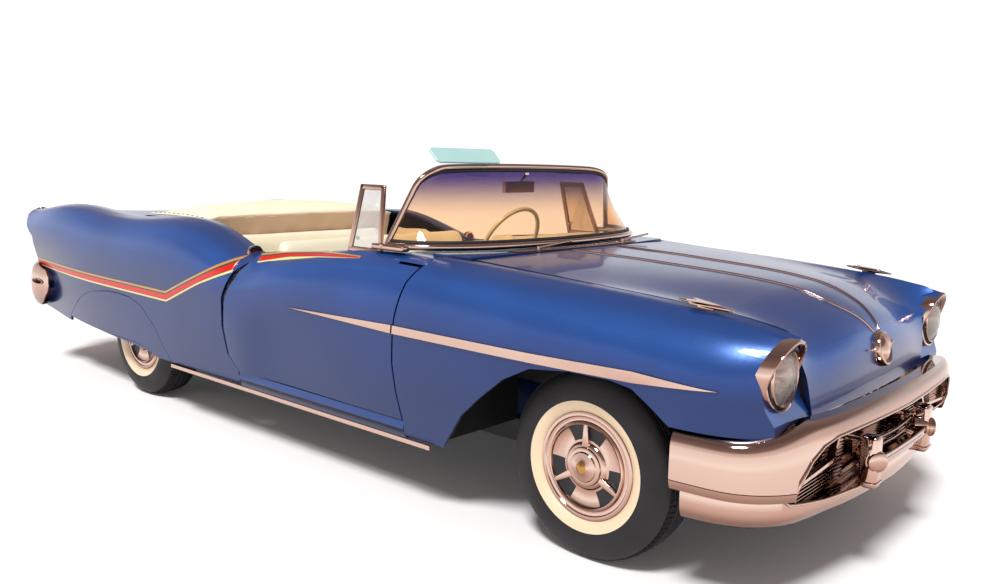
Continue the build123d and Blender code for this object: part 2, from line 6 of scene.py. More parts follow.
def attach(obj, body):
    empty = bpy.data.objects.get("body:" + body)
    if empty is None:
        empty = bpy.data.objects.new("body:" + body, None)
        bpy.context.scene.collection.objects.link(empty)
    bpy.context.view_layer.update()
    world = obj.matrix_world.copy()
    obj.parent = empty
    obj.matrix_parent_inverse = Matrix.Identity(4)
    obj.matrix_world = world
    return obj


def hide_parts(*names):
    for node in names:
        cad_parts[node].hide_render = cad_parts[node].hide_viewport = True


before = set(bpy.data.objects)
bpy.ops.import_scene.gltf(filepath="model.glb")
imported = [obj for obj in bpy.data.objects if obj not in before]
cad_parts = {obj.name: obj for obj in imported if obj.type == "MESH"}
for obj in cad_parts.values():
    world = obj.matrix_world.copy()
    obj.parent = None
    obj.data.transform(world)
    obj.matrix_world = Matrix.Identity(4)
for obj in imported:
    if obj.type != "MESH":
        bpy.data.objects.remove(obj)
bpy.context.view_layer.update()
print("frame loaded")

carSizes = {"frontAxleY": -1.907, "rearAxleY": 1.306, "rearEndY": 2.752, "axleZ": 0.352,
            "frontTrack": 1.499, "rearTrack": 1.473}


# Material helpers
def linear(hexText, alpha=1.0):
    values = [int(hexText[i:i + 2], 16) / 255 for i in (1, 3, 5)]
    return [v / 12.92 if v < 0.04045 else ((v + 0.055) / 1.055) ** 2.4 for v in values] + [alpha]


# Adds one node: settings are its properties, inputs are values or the sockets that feed them
def addNode(tree, kind, inputs=None, **settings):
    node = tree.nodes.new(kind)
    for key, value in settings.items():
        setattr(node, key, value)
    for key, value in (inputs or {}).items():
        if isinstance(value, bpy.types.NodeSocket):
            tree.links.new(value, node.inputs[key])
        else:
            node.inputs[key].default_value = value
    return node


def newMaterial(name):
    material = bpy.data.materials.new(name)
    material.use_nodes = True
    tree = material.node_tree
    tree.nodes.clear()
    coords = addNode(tree, "ShaderNodeTexCoord").outputs["Object"]
    return material, tree, coords


def finishMaterial(tree, shader):
    addNode(tree, "ShaderNodeOutputMaterial", {"Surface": shader.outputs[0]})


# Colour that drifts between two tones with a noise of a given size in metres
def mottled(tree, coords, low, high, size, detail=3.0):
    drift = addNode(tree, "ShaderNodeTexNoise", {"Vector": coords, "Scale": 1 / size, "Detail": detail})
    return addNode(tree, "ShaderNodeMix", {"Factor": drift.outputs["Fac"], "A": linear(low), "B": linear(high)},
                   data_type="RGBA").outputs["Result"]


def bumped(tree, height, depth):
    return addNode(tree, "ShaderNodeBump", {"Height": height, "Distance": depth, "Strength": 1.0}).outputs["Normal"]


# Painted shade and painted reflection: a base colour set by how far a surface leans up or down, which stays put when
# the camera moves
def paintedShadeByLean(tree, stops):
    normal = addNode(tree, "ShaderNodeNewGeometry").outputs["Normal"]
    lean = addNode(tree, "ShaderNodeSeparateXYZ", {"Vector": normal}).outputs["Z"]
    share = addNode(tree, "ShaderNodeMapRange", {"Value": lean, "From Min": -1.0, "From Max": 1.0}).outputs["Result"]
    ramp = addNode(tree, "ShaderNodeValToRGB", {"Fac": share})
    elements = ramp.color_ramp.elements
    while len(elements) < len(stops):
        elements.new(0.5)
    for element, (lean, colour) in zip(elements, stops):
        element.position, element.color = (lean + 1) / 2, linear(colour)
    return ramp.outputs["Color"]


# Body paint base colours by lean: the deep tones underneath are painted shade, the lighter tones on faces leaning up
# are a painted reflection
paint = {"stops": [(-1.0, "#08132f"), (-0.25, "#0c2150"), (0.10, "#14397c"), (0.55, "#2354a0"), (1.0, "#1c4080")],
         "flakeSize": 0.0016, "roughness": 0.30}


# Metallic enamel, sprayed and clear-coated: flakes glitter and the gloss is sharp; its base colour has painted shade on
# the undersides and a painted reflection on faces that lean up
def makeBodyPaint():
    material, tree, coords = newMaterial("metallicBlueEnamelPaintedShade")
    flakes = addNode(tree, "ShaderNodeTexVoronoi", {"Vector": coords, "Scale": 1 / paint["flakeSize"]})
    drift = addNode(tree, "ShaderNodeTexNoise", {"Vector": coords, "Scale": 2.2, "Detail": 2.0}).outputs["Fac"]
    # painted shade underneath and painted reflection on faces leaning up
    body = paintedShadeByLean(tree, paint["stops"])
    cloudy = addNode(tree, "ShaderNodeMix", {"Factor": 0.22, "A": body, "B": drift},
                     data_type="RGBA", blend_type="OVERLAY").outputs["Result"]
    glitter = addNode(tree, "ShaderNodeMix", {"Factor": 0.10, "A": cloudy, "B": flakes.outputs["Color"]},
                      data_type="RGBA", blend_type="OVERLAY").outputs["Result"]
    orangePeel = addNode(tree, "ShaderNodeTexNoise", {"Vector": coords, "Scale": 90.0, "Detail": 1.0}).outputs["Fac"]
    shader = addNode(tree, "ShaderNodeBsdfPrincipled", {
        "Base Color": glitter, "Metallic": 0.35, "Roughness": paint["roughness"], "Coat Weight": 0.5,
        "Coat IOR": 1.4, "Coat Roughness": 0.03, "Normal": bumped(tree, orangePeel, 0.00004)})
    finishMaterial(tree, shader)
    return material


# Chrome base colours by lean, a painted reflection and painted shade: darkest facing down, brightest facing level, mid
# tones facing up
chromePaintedReflectionLook = {"stops": [(-1.0, "#5a4238"), (-0.40, "#937062"), (-0.06, "#c59e8e"), (0.06, "#e4cbbd"), (0.22, "#c8a596"),
                        (0.60, "#9a8077"), (1.0, "#c4afa5")], "roughness": 0.07}


# Chromium plate on pressed steel: mirror bright, with slow waves from pressing and polishing; its base colour is
# painted reflection and painted shade, set by how far the surface leans
def makeChrome(name="platedChromePaintedReflection", roughness=None, waves=0.0006):
    material, tree, coords = newMaterial(name)
    # painted reflection and painted shade by lean
    tone = paintedShadeByLean(tree, chromePaintedReflectionLook["stops"])
    wave = addNode(tree, "ShaderNodeTexNoise", {"Vector": coords, "Scale": 7.0, "Detail": 1.0}).outputs["Fac"]
    haze = addNode(tree, "ShaderNodeTexNoise", {"Vector": coords, "Scale": 40.0, "Detail": 4.0}).outputs["Fac"]
    rough = addNode(tree, "ShaderNodeMapRange", {"Value": haze, "To Min": (roughness or chromePaintedReflectionLook["roughness"]) * 0.6,
                    "To Max": (roughness or chromePaintedReflectionLook["roughness"]) * 1.5}).outputs["Result"]
    shader = addNode(tree, "ShaderNodeBsdfPrincipled", {
        "Base Color": tone, "Metallic": 1.0, "Roughness": rough, "Normal": bumped(tree, wave, waves)})
    finishMaterial(tree, shader)
    return material


# Plain painted or moulded surface: two close tones, fine texture in the relief
def makePlain(name, low, high, roughness, grain=0.002, relief=0.0001, metallic=0.0, coat=0.0, patch=0.12):
    material, tree, coords = newMaterial(name)
    tone = mottled(tree, coords, low, high, patch)
    fine = addNode(tree, "ShaderNodeTexNoise", {"Vector": coords, "Scale": 1 / grain, "Detail": 2.0}).outputs["Fac"]
    worn = addNode(tree, "ShaderNodeTexNoise", {"Vector": coords, "Scale": 12.0, "Detail": 4.0}).outputs["Fac"]
    rough = addNode(tree, "ShaderNodeMapRange", {"Value": worn, "To Min": roughness * 0.8,
                    "To Max": min(1.0, roughness * 1.2)}).outputs["Result"]
    shader = addNode(tree, "ShaderNodeBsdfPrincipled", {
        "Base Color": tone, "Metallic": metallic, "Roughness": rough, "Coat Weight": coat,
        "Normal": bumped(tree, fine, relief)})
    finishMaterial(tree, shader)
    return material


# Embossed vinyl: pebbled grain of about a millimetre, soft shine on its crests
def makeVinyl(name, low, high, roughness=0.42, grain=0.0022, sheen=0.0):
    material, tree, coords = newMaterial(name)
    tone = mottled(tree, coords, low, high, 0.22)
    pebbles = addNode(tree, "ShaderNodeTexVoronoi", {"Vector": coords, "Scale": 1 / grain},
                      feature="SMOOTH_F1").outputs["Distance"]
    creases = addNode(tree, "ShaderNodeTexNoise", {"Vector": coords, "Scale": 26.0, "Detail": 3.0}).outputs["Fac"]
    relief = addNode(tree, "ShaderNodeMath", {0: pebbles, 1: creases}, operation="ADD").outputs[0]
    shader = addNode(tree, "ShaderNodeBsdfPrincipled", {
        "Base Color": tone, "Roughness": roughness, "Sheen Weight": sheen,
        "Normal": bumped(tree, relief, 0.00025)})
    finishMaterial(tree, shader)
    return material


windshieldLook = {"clear": "#f9d2a8", "band": "#453674", "bandLow": 1.17, "bandHigh": 1.37}


# Laminated plate glass: clear below, with the blue-violet sun band fading down from the top
def makeWindshieldGlass():
    material, tree, coords = newMaterial("laminatedGlass")
    height = addNode(tree, "ShaderNodeSeparateXYZ", {"Vector": coords}).outputs["Z"]
    band = addNode(tree, "ShaderNodeMapRange", {"Value": height, "From Min": windshieldLook["bandLow"],
                   "From Max": windshieldLook["bandHigh"]}, interpolation_type="SMOOTHSTEP").outputs["Result"]
    tint = addNode(tree, "ShaderNodeMix", {"Factor": band, "A": linear(windshieldLook["clear"]),
                   "B": linear(windshieldLook["band"])}, data_type="RGBA").outputs["Result"]
    shader = addNode(tree, "ShaderNodeBsdfPrincipled", {
        "Base Color": tint, "Roughness": 0.0, "IOR": 1.5, "Transmission Weight": 1.0})
    finishMaterial(tree, shader)
    return material


# Pressed glass: optical flutes in the mould make bright upright lines
def makeLampGlass(name, colour, pitch=0.0055, axis="X", depth=0.0005):
    material, tree, coords = newMaterial(name)
    flutes = addNode(tree, "ShaderNodeTexWave", {"Vector": coords, "Scale": math.pi / 10 / pitch},
                     bands_direction=axis, wave_profile="SIN").outputs["Fac"]
    shader = addNode(tree, "ShaderNodeBsdfPrincipled", {
        "Base Color": linear(colour), "Roughness": 0.0, "IOR": 1.45, "Transmission Weight": 1.0,
        "Normal": bumped(tree, flutes, depth)})
    finishMaterial(tree, shader)
    return material


# Natural rubber, vulcanised in a mould: nearly black with a dusty bloom, satin on the sidewall
def makeTyreRubber():
    return makePlain("mouldedRubber", "#09070b", "#130f16", 0.62, grain=0.003, relief=0.0003)


# Line of the painted band from the part's tables: (y behind the front axle, z), in metres
bandLook = {
    "top": [(1.206, 1.004), (1.335, 1.003), (1.532, 0.996), (1.769, 0.977), (1.927, 0.954), (2.064, 0.943),
            (2.369, 0.814), (2.696, 0.688), (3.611, 0.695), (4.488, 0.707)],
    "bottom": [(1.206, 0.996), (1.311, 0.988), (1.493, 0.974), (1.720, 0.951), (1.965, 0.902), (2.085, 0.852),
               (2.361, 0.761), (2.698, 0.630), (3.613, 0.641), (4.488, 0.658)],
    "stripes": [(0.0, "#e6d894"), (0.17, "#3a2a26"), (0.23, "#cf040a"), (0.66, "#2b3f2c"), (0.80, "#b98a54")],
    "yRange": (1.2, 4.5), "zRange": (0.6, 1.05),
}


# Four enamel stripes masked and sprayed side by side: cream, red, dark green and gold
def makeStripes():
    material, tree, coords = newMaterial("stripeEnamel")
    place = addNode(tree, "ShaderNodeSeparateXYZ", {"Vector": coords})
    yLow, yHigh = (value + carSizes["frontAxleY"] for value in bandLook["yRange"])
    along = addNode(tree, "ShaderNodeMapRange", {"Value": place.outputs["Y"], "From Min": yLow,
                    "From Max": yHigh}).outputs["Result"]
    zLow, zHigh = bandLook["zRange"]
    height = addNode(tree, "ShaderNodeMapRange", {"Value": place.outputs["Z"], "From Min": zLow,
                     "From Max": zHigh}).outputs["Result"]
    lines = {}
    for edge in ("top", "bottom"):
        curve = addNode(tree, "ShaderNodeFloatCurve", {"Value": along})
        points = curve.mapping.curves[0].points
        spots = [((y - bandLook["yRange"][0]) / 3.3, (z - zLow) / (zHigh - zLow)) for y, z in bandLook[edge]]
        points[0].location, points[-1].location = spots[0], spots[-1]
        for spot in spots[1:-1]:
            points.new(*spot)
        for point in points:
            point.handle_type = "VECTOR"
        curve.mapping.update()
        lines[edge] = curve.outputs["Value"]
    share = addNode(tree, "ShaderNodeMapRange", {"Value": height, "From Min": lines["bottom"],
                    "From Max": lines["top"]}).outputs["Result"]
    ramp = addNode(tree, "ShaderNodeValToRGB", {"Fac": share})
    ramp.color_ramp.interpolation = "CONSTANT"
    while len(ramp.color_ramp.elements) < len(bandLook["stripes"]):
        ramp.color_ramp.elements.new(0.5)
    for element, (start, colour) in zip(ramp.color_ramp.elements, bandLook["stripes"]):
        element.position, element.color = start, linear(colour)
    shader = addNode(tree, "ShaderNodeBsdfPrincipled", {
        "Base Color": ramp.outputs["Color"], "Roughness": 0.35, "Coat Weight": 0.3, "Coat Roughness": 0.04})
    finishMaterial(tree, shader)
    return material


looks = {
    "paint": makeBodyPaint(),
    "chrome": makeChrome(),
    "brightTrim": makeChrome("polishedStainlessPaintedReflection", 0.12, 0.0002),
    "glass": makeWindshieldGlass(),
    "lampGlass": makeLampGlass("pressedLampGlass", "#f4f6f4"),
    "redGlass": makeLampGlass("redLampGlass", "#c3161c", 0.004, "Z"),
    "rubber": makeTyreRubber(),
    "whitewall": makePlain("whiteRubber", "#dcc3a2", "#e8d3b4", 0.5, relief=0.0001),
    "seal": makePlain("extrudedSealRubber", "#141215", "#1f1c20", 0.6),
    "stripes": makeStripes(),
    "chassis": makePlain("brushedBlackEnamel", "#0f0f11", "#1c1b1c", 0.55, relief=0.0003),
    "iron": makePlain("castIron", "#2b2a29", "#474240", 0.7, grain=0.004, relief=0.0006, metallic=0.6),
    "steel": makePlain("aluminisedSteel", "#6d6863", "#8d8780", 0.42, metallic=0.9),
    "dashTop": makePlain("crackleDashEnamel", "#5f7f90", "#7193a2", 0.5, grain=0.0015, relief=0.0003),
    "dashFace": makePlain("stovedDashEnamel", "#2c5f8e", "#3b73a2", 0.28, coat=0.6),
    "blackPaint": makePlain("satinBlackEnamel", "#0b0a0c", "#151316", 0.4),
    "creamPlastic": makePlain("mouldedCreamPlastic", "#e6dcb8", "#f1e9cd", 0.25, coat=0.5),
    "blackPlastic": makePlain("mouldedBlackPlastic", "#101012", "#1b1b1e", 0.35),
    "gold": makePlain("goldAnodisedBoss", "#a97a35", "#d0a05a", 0.25, metallic=1.0),
    "creamVinyl": makeVinyl("creamSeatVinyl", "#f3ebcb", "#fbf6de"),
    "turquoiseVinyl": makeVinyl("turquoiseSeatVinyl", "#5fb3b8", "#82c9cb"),
    "paleVinyl": makeVinyl("paleTurquoiseVisorVinyl", "#a2cfcd", "#b9dcd9"),
    "whiteVinyl": makeVinyl("whiteSeatVinyl", "#eeeadb", "#f8f5ea"),
    "coverVinyl": makeVinyl("creamCoverVinyl", "#f3edcb", "#fdf9e0", 0.5, 0.003),
    "peachLining": makeVinyl("peachLiningCloth", "#d9b79a", "#e8ccb4", 0.8, 0.003, 0.3),
    "carpet": makeVinyl("blueLoopCarpet", "#1f4058", "#2f5a74", 0.95, 0.004, 0.4),
    "mirrorGlass": makeChrome("silveredGlassPaintedReflection", 0.02, 0.0),
}
print("materials made")

# Finish of each CAD node that stays
nodeLooks = {
    "paint": ["front_fender_left", "front_fender_right", "door_left", "door_right", "rear_quarter_left",
              "rear_quarter_right", "rockers", "fender_skirts", "hood", "cowl", "trunk_lid", "rear_panels"],
    "chrome": ["hood_trim", "front_bumper", "grille", "rear_bumper", "headlamp_bezels", "interior_mirror",
               "fender_ornaments"],
    "brightTrim": ["fender_spears", "sill_strips", "door_spear_left", "door_spear_right", "vent_window_left",
                   "vent_window_right", "windshield_frame", "wipers"],
    "glass": ["windshield_glass"],
    "redGlass": ["tail_lamps"],
    "dashFace": ["dashboard"],
    "creamPlastic": ["steering_wheel", "steering_column"],
    "chassis": ["frame_rails", "floor_pan", "inner_fenders", "fuel_tank", "rear_axle", "propeller_shaft",
                "front_suspension"],
    "iron": ["engine_block", "knuckle_left", "knuckle_right"],
    "steel": ["exhaust_system"],
}
for look, nodes in nodeLooks.items():
    for name in nodes:
        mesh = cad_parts[name].data
        mesh.materials.clear()
        mesh.materials.append(looks[look])


# Gives the faces of a CAD node that pass a test a second finish
def paintFaces(node, look, test):
    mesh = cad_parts[node].data
    mesh.materials.append(looks[look])
    index = len(mesh.materials) - 1
    for face in mesh.polygons:
        if test(face.center, face.normal):
            face.material_index = index


# Makes a mesh object of a bmesh: smooth faces, with edges past the angle kept crisp
def makePiece(name, bm, finishes, sharpAngle=32.0, recalc=True):
    if recalc:
        bmesh.ops.recalc_face_normals(bm, faces=bm.faces)
    mesh = bpy.data.meshes.new(name)
    bm.to_mesh(mesh)
    bm.free()
    for finish in finishes:
        mesh.materials.append(looks[finish])
    for face in mesh.polygons:
        face.use_smooth = True
    mesh.set_sharp_from_angle(angle=math.radians(sharpAngle))
    piece = bpy.data.objects.new(name, mesh)
    bpy.context.scene.collection.objects.link(piece)
    return piece


def placePiece(piece, body, slot, *replaced):
    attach(piece, body)
    if replaced:
        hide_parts(*replaced)
    return piece


# Turns a profile of (distance along the axis, radius) about an axis through a point
def latheInto(bm, profile, centre, axis, steps=64, finish=0):
    axis = Vector(axis).normalized()
    aside = axis.orthogonal().normalized()
    verts = [bm.verts.new(Vector(centre) + axis * along + aside * radius) for along, radius in profile]
    edges = [bm.edges.new(two) for two in zip(verts, verts[1:])]
    before = set(bm.faces)
    bmesh.ops.spin(bm, geom=verts + edges, cent=centre, axis=axis, angle=math.tau, steps=steps, use_merge=True)
    bmesh.ops.remove_doubles(bm, verts=bm.verts, dist=1e-6)
    made = [face for face in bm.faces if face not in before]
    for face in made:
        face.material_index = finish
    return made


# Adds a bevelled block; matrix turns and places it
def blockInto(bm, size, matrix, bevel=0.002, segments=2, finish=0, taper=None):
    made = bmesh.ops.create_cube(bm, size=1.0)["verts"]
    bmesh.ops.scale(bm, vec=size, verts=made)
    if taper:
        for vert in made:
            if vert.co.x > 0:
                vert.co.y *= taper[0]
                vert.co.z *= taper[1]
    edges = list({edge for vert in made for edge in vert.link_edges})
    faces = list({face for vert in made for face in vert.link_faces})
    if bevel:
        result = bmesh.ops.bevel(bm, geom=made + edges, offset=bevel, segments=segments, affect="EDGES", profile=0.5,
                                 material=-1)
        faces = [face for face in faces if face.is_valid] + result["faces"]
    faces = list({face for face in faces if face.is_valid})
    verts = list({vert for face in faces for vert in face.verts})
    bmesh.ops.transform(bm, matrix=matrix, verts=verts)
    for face in faces:
        face.material_index = finish
    return faces


# Round rod along a smooth line through points
def rodInto(bm, points, radius, sides=12, finish=0, closed=False):
    spots = [Vector(point) for point in points]
    rings = []
    count = len(spots)
    for i, spot in enumerate(spots):
        ahead = spots[(i + 1) % count] if closed else spots[min(i + 1, count - 1)]
        behind = spots[i - 1] if (closed or i) else spots[0]
        forward = (ahead - behind).normalized()
        turn = forward.to_track_quat("Z", "Y").to_matrix().to_4x4()
        size = radius[i] if isinstance(radius, (list, tuple)) else radius
        ring = bmesh.ops.create_circle(bm, segments=sides, radius=size, matrix=Matrix.Translation(spot) @ turn)
        edges = list({edge for vert in ring["verts"] for edge in vert.link_edges})
        rings.append((ring["verts"], edges))
    made = []
    pairs = list(zip(rings, rings[1:])) + ([(rings[-1], rings[0])] if closed else [])
    for (_, low), (_, high) in pairs:
        made += bmesh.ops.bridge_loops(bm, edges=low + high)["faces"]
    if not closed:
        for _, edges in (rings[0], rings[-1]):
            made += bmesh.ops.edgeloop_fill(bm, edges=edges)["faces"]
    for face in made:
        face.material_index = finish
    return made


# Skin grown row by row; wrap joins the ends of each row, caps close the first and last
def skinInto(bm, rows, wrap=False, caps=False, finish=0):
    before = set(bm.faces)
    verts = [bm.verts.new(point) for point in rows[0]]
    edges = [bm.edges.new(two) for two in zip(verts, verts[1:])]
    if wrap:
        edges.append(bm.edges.new((verts[-1], verts[0])))
    first = edges
    for row in rows[1:]:
        grown = bmesh.ops.extrude_edge_only(bm, edges=edges)["geom"]
        fresh = {item for item in grown if isinstance(item, bmesh.types.BMVert)}
        edges = [item for item in grown if isinstance(item, bmesh.types.BMEdge)
                 and item.verts[0] in fresh and item.verts[1] in fresh]
        above = {edge.other_vert(vert): vert for vert in fresh for edge in vert.link_edges
                 if edge.other_vert(vert) not in fresh}
        verts = [above[vert] for vert in verts]
        for vert, point in zip(verts, row):
            vert.co = point
    if caps:
        for loop in (first, edges):
            bmesh.ops.edgeloop_fill(bm, edges=loop)
    made = [face for face in bm.faces if face not in before]
    for face in made:
        face.material_index = finish
    return made


# Points along a smooth line through a few spots
def smoothLine(spots, steps=6):
    spots = [Vector(spot) for spot in spots]
    points = []
    for i in range(len(spots) - 1):
        before, start, end, after = spots[max(i - 1, 0)], spots[i], spots[i + 1], spots[min(i + 2, len(spots) - 1)]
        for step in range(steps):
            t = step / steps
            points.append(0.5 * (2 * start + (end - before) * t + (2 * before - 5 * start + 4 * end - after) * t * t
                                 + (3 * start - before - 3 * end + after) * t ** 3))
    return points + [spots[-1]]


# Tyres: (across from the middle, radius) from the tread's middle to the bead
tyreLook = {
    "half": [(0.0, 0.3515), (0.0125, 0.3515), (0.0135, 0.3445), (0.0195, 0.3445), (0.0205, 0.3513), (0.0395, 0.3507),
             (0.0405, 0.3437), (0.0465, 0.3437), (0.0475, 0.3500), (0.0630, 0.3480), (0.0740, 0.3445),
             (0.0800, 0.3395), (0.0870, 0.3330), (0.0960, 0.3200), (0.1040, 0.3020), (0.1100, 0.2820),
             (0.1135, 0.2620), (0.1138, 0.2440), (0.1128, 0.2415), (0.1140, 0.2395), (0.1115, 0.2240),
             (0.1055, 0.2110), (0.0980, 0.2015), (0.0905, 0.1960), (0.0880, 0.1900), (0.0810, 0.1830)],
    "whitewall": (0.1965, 0.2400), "steps": 96, "sipeDepth": 0.004, "sipeBand": (0.339, 0.3492),
}


def makeTyre(name, side, y):
    track = carSizes["frontTrack"] if y < 0 else carSizes["rearTrack"]
    centre = Vector((side * track / 2, y, carSizes["axleZ"]))
    half = tyreLook["half"]
    profile = [(-across, radius) for across, radius in half[::-1]] + half[1:]
    bm = bmesh.new()
    latheInto(bm, profile, centre, (side, 0, 0), tyreLook["steps"])
    bmesh.ops.recalc_face_normals(bm, faces=bm.faces)
    sipes = []
    for face in bm.faces:
        offset = face.calc_center_median() - centre
        radius = math.hypot(offset.y, offset.z)
        low, high = tyreLook["whitewall"]
        if offset.x * side > 0.08 and low < radius < high:
            face.material_index = 1
        if tyreLook["sipeBand"][0] < radius < tyreLook["sipeBand"][1] and 0.048 < abs(offset.x) < 0.083:
            sipes.append(face)
    bmesh.ops.inset_individual(bm, faces=sipes, thickness=0.0022, depth=-tyreLook["sipeDepth"])
    piece = makePiece(name, bm, ["rubber", "whitewall"], 28)
    return piece


# Wheel with its bright cover: (out from the wheel's middle, radius) from the rim's edge inwards
wheelLook = {
    "cover": [(0.0790, 0.1815), (0.0880, 0.1950), (0.0935, 0.1985), (0.0985, 0.1962), (0.1006, 0.1905),
              (0.1005, 0.1830), (0.0962, 0.1795), (0.0945, 0.1725), (0.0955, 0.1655), (0.1035, 0.1612),
              (0.1062, 0.1565), (0.1038, 0.1520), (0.0965, 0.1490), (0.0925, 0.1420), (0.0905, 0.1280),
              (0.0900, 0.1120), (0.0905, 0.0960), (0.0925, 0.0880), (0.0990, 0.0835), (0.1025, 0.0785),
              (0.1045, 0.0715), (0.1100, 0.0690), (0.1118, 0.0650), (0.1118, 0.0560), (0.1165, 0.0520),
              (0.1200, 0.0400), (0.1235, 0.0260), (0.1275, 0.0200), (0.1310, 0.0140), (0.1345, 0.0080),
              (0.1355, 0.0)],
    "back": [(0.0790, 0.1815), (0.0700, 0.1700), (0.0300, 0.1620), (-0.0400, 0.1620), (-0.0790, 0.1700),
             (-0.0790, 0.1815)],
    "bars": 3, "barReach": (0.070, 0.158), "slotRadii": (0.100, 0.146), "slotHalfAngle": 34.0, "steps": 96,
}


def makeWheel(name, side, y, turn):
    track = carSizes["frontTrack"] if y < 0 else carSizes["rearTrack"]
    centre = Vector((side * track / 2, y, carSizes["axleZ"]))
    bm = bmesh.new()
    cover = latheInto(bm, wheelLook["cover"], centre, (side, 0, 0), wheelLook["steps"])
    barrel = latheInto(bm, wheelLook["back"], centre, (side, 0, 0), 64, finish=2)
    bmesh.ops.recalc_face_normals(bm, faces=bm.faces)
    low, high = wheelLook["slotRadii"]
    step = math.tau / wheelLook["bars"]
    for face in cover:
        offset = face.calc_center_median() - centre
        radius = math.hypot(offset.y, offset.z)
        angle = math.atan2(offset.z, offset.y * side) - turn
        off = (angle + step / 2) % step - step / 2
        if low < radius < high and abs(off) > step / 2 - math.radians(wheelLook["slotHalfAngle"]):
            face.material_index = 1
        if radius < 0.019 and offset.x * side > 0.12:
            face.material_index = 3
    start, end = wheelLook["barReach"]
    for i in range(wheelLook["bars"]):
        angle = turn + i * step
        place = Matrix.Translation(centre) @ Matrix.Rotation(-angle * side, 4, "X") @ Matrix.Rotation(
            math.pi / 2 * side, 4, "Z")
        shift = Matrix.Translation(((start + end) / 2, -0.0975 * 1.0, 0))
        blockInto(bm, (end - start, 0.016, 0.030), place @ shift, 0.004, 3, 0, taper=(0.7, 0.55))
    piece = makePiece(name, bm, ["chrome", "blackPaint", "chassis", "gold"], 30)
    return piece


for end, y in (("front", carSizes["frontAxleY"]), ("rear", carSizes["rearAxleY"])):
    for label, side in (("left", 1), ("right", -1)):
        tyre = makeTyre(f"tyreAndWhitewall_{end}_{label}", side, y)
        placePiece(tyre, f"wheel_{end}_{label}", "tyre_rubber", f"tyre_{end}_{label}")
        wheel = makeWheel(f"wheelCover_{end}_{label}", side, y, 0.5)
        placePiece(wheel, f"wheel_{end}_{label}", "chrome_trim", f"wheel_{end}_{label}")
print("tyres and wheel covers made")


# Sealed-beam headlamps behind the bezels
lampLook = {
    "x": 0.766, "y": -0.676, "z": 0.786, "radius": 0.0975, "domeRadius": 0.19, "facets": 20,
    "rake": [(0.640, -0.694), (0.690, -0.676), (0.770, -0.668), (0.920, -0.728), (1.000, -0.738)],
    "outline": [(0, 0.126), (0.050, 0.110), (0.096, 0.068), (0.112, 0.006), (0.090, -0.068), (0.012, -0.110),
                (-0.074, -0.098), (-0.116, -0.022), (-0.104, 0.068), (-0.052, 0.114)],
}


def makeHeadlamp(name, side):
    centre = Vector((side * lampLook["x"], lampLook["y"] + carSizes["frontAxleY"], lampLook["z"]))
    radius, dome = lampLook["radius"], lampLook["domeRadius"]
    drop = math.sqrt(dome ** 2 - radius ** 2)
    bm = bmesh.new()
    lens = []
    for i in range(11):
        r = radius * 0.93 * i / 10
        lens.append((0.006 + math.sqrt(dome ** 2 - r ** 2) - drop, r))
    inner = [(along - 0.004, r) for along, r in lens[::-1]]
    latheInto(bm, lens + inner, centre, (0, -1, 0), 64, finish=0)
    rim = [(0.000, radius * 0.90), (0.010, radius * 0.905), (0.014, radius * 0.945), (0.012, radius * 0.985),
           (0.004, radius), (-0.018, radius), (-0.018, radius * 0.90), (0.000, radius * 0.90)]
    latheInto(bm, rim, centre, (0, -1, 0), 64, finish=1)
    seal = [(0.002, radius * 0.985), (0.006, radius), (0.002, radius * 1.03), (-0.020, radius * 1.03)]
    latheInto(bm, seal, centre, (0, -1, 0), 64, finish=3)
    bowl = [(-0.001, radius * 0.90), (-0.020, radius * 0.80), (-0.038, radius * 0.55), (-0.048, radius * 0.25),
            (-0.050, 0.0)]
    back = [(along - 0.003, r) for along, r in bowl[::-1]]
    latheInto(bm, bowl + back + [bowl[0]], centre, (0, -1, 0), lampLook["facets"], finish=2)
    latheInto(bm, [(-0.046, 0.0), (-0.046, 0.016), (-0.016, 0.020), (-0.012, 0.014), (-0.011, 0.0)], centre,
              (0, -1, 0), 24, finish=2)
    return makePiece(name, bm, ["lampGlass", "brightTrim", "mirrorGlass", "seal"], 12)


def rakeAt(z):
    stops = lampLook["rake"]
    for (low, first), (high, second) in zip(stops, stops[1:]):
        if z <= high:
            return first + (second - first) * max(0.0, (z - low) / (high - low))
    return stops[-1][1]


# Bezel with a peaked brow: rows from the lens round the polished lip to the fender
def makeBezel(name, side):
    line = smoothLine([(x, 0, z) for x, z in lampLook["outline"] + lampLook["outline"][:1]], 6)[:-1]
    hole = lampLook["radius"] * 1.025
    rows = []
    for share, depth in ((0.0, 0.060), (0.0, 0.014), (0.10, 0.002), (0.45, -0.006), (0.85, -0.004), (1.0, 0.006),
                         (1.0, 0.045)):
        row = []
        for spot in line:
            angle = math.atan2(spot.z, spot.x)
            inner = Vector((math.cos(angle) * hole, 0, math.sin(angle) * hole))
            at = inner.lerp(spot, share)
            z = lampLook["z"] + at.z
            row.append(Vector((side * (lampLook["x"] + at.x), rakeAt(z) + depth + carSizes["frontAxleY"], z)))
        rows.append(row)
    bm = bmesh.new()
    skinInto(bm, rows, wrap=True)
    return makePiece(name, bm, ["chrome"], 40)


lamps = [makeHeadlamp("headlamp_" + label, side) for label, side in (("left", 1), ("right", -1))]
placePiece(lamps[0], "body", "lamp_glass", "headlamps")
placePiece(lamps[1], "body", "lamp_glass")
bezels = [makeBezel("headlampBezel_" + label, side) for label, side in (("left", 1), ("right", -1))]
placePiece(bezels[0], "body", "chrome_trim", "headlamp_bezels")
placePiece(bezels[1], "body", "chrome_trim")
print("headlamps made")


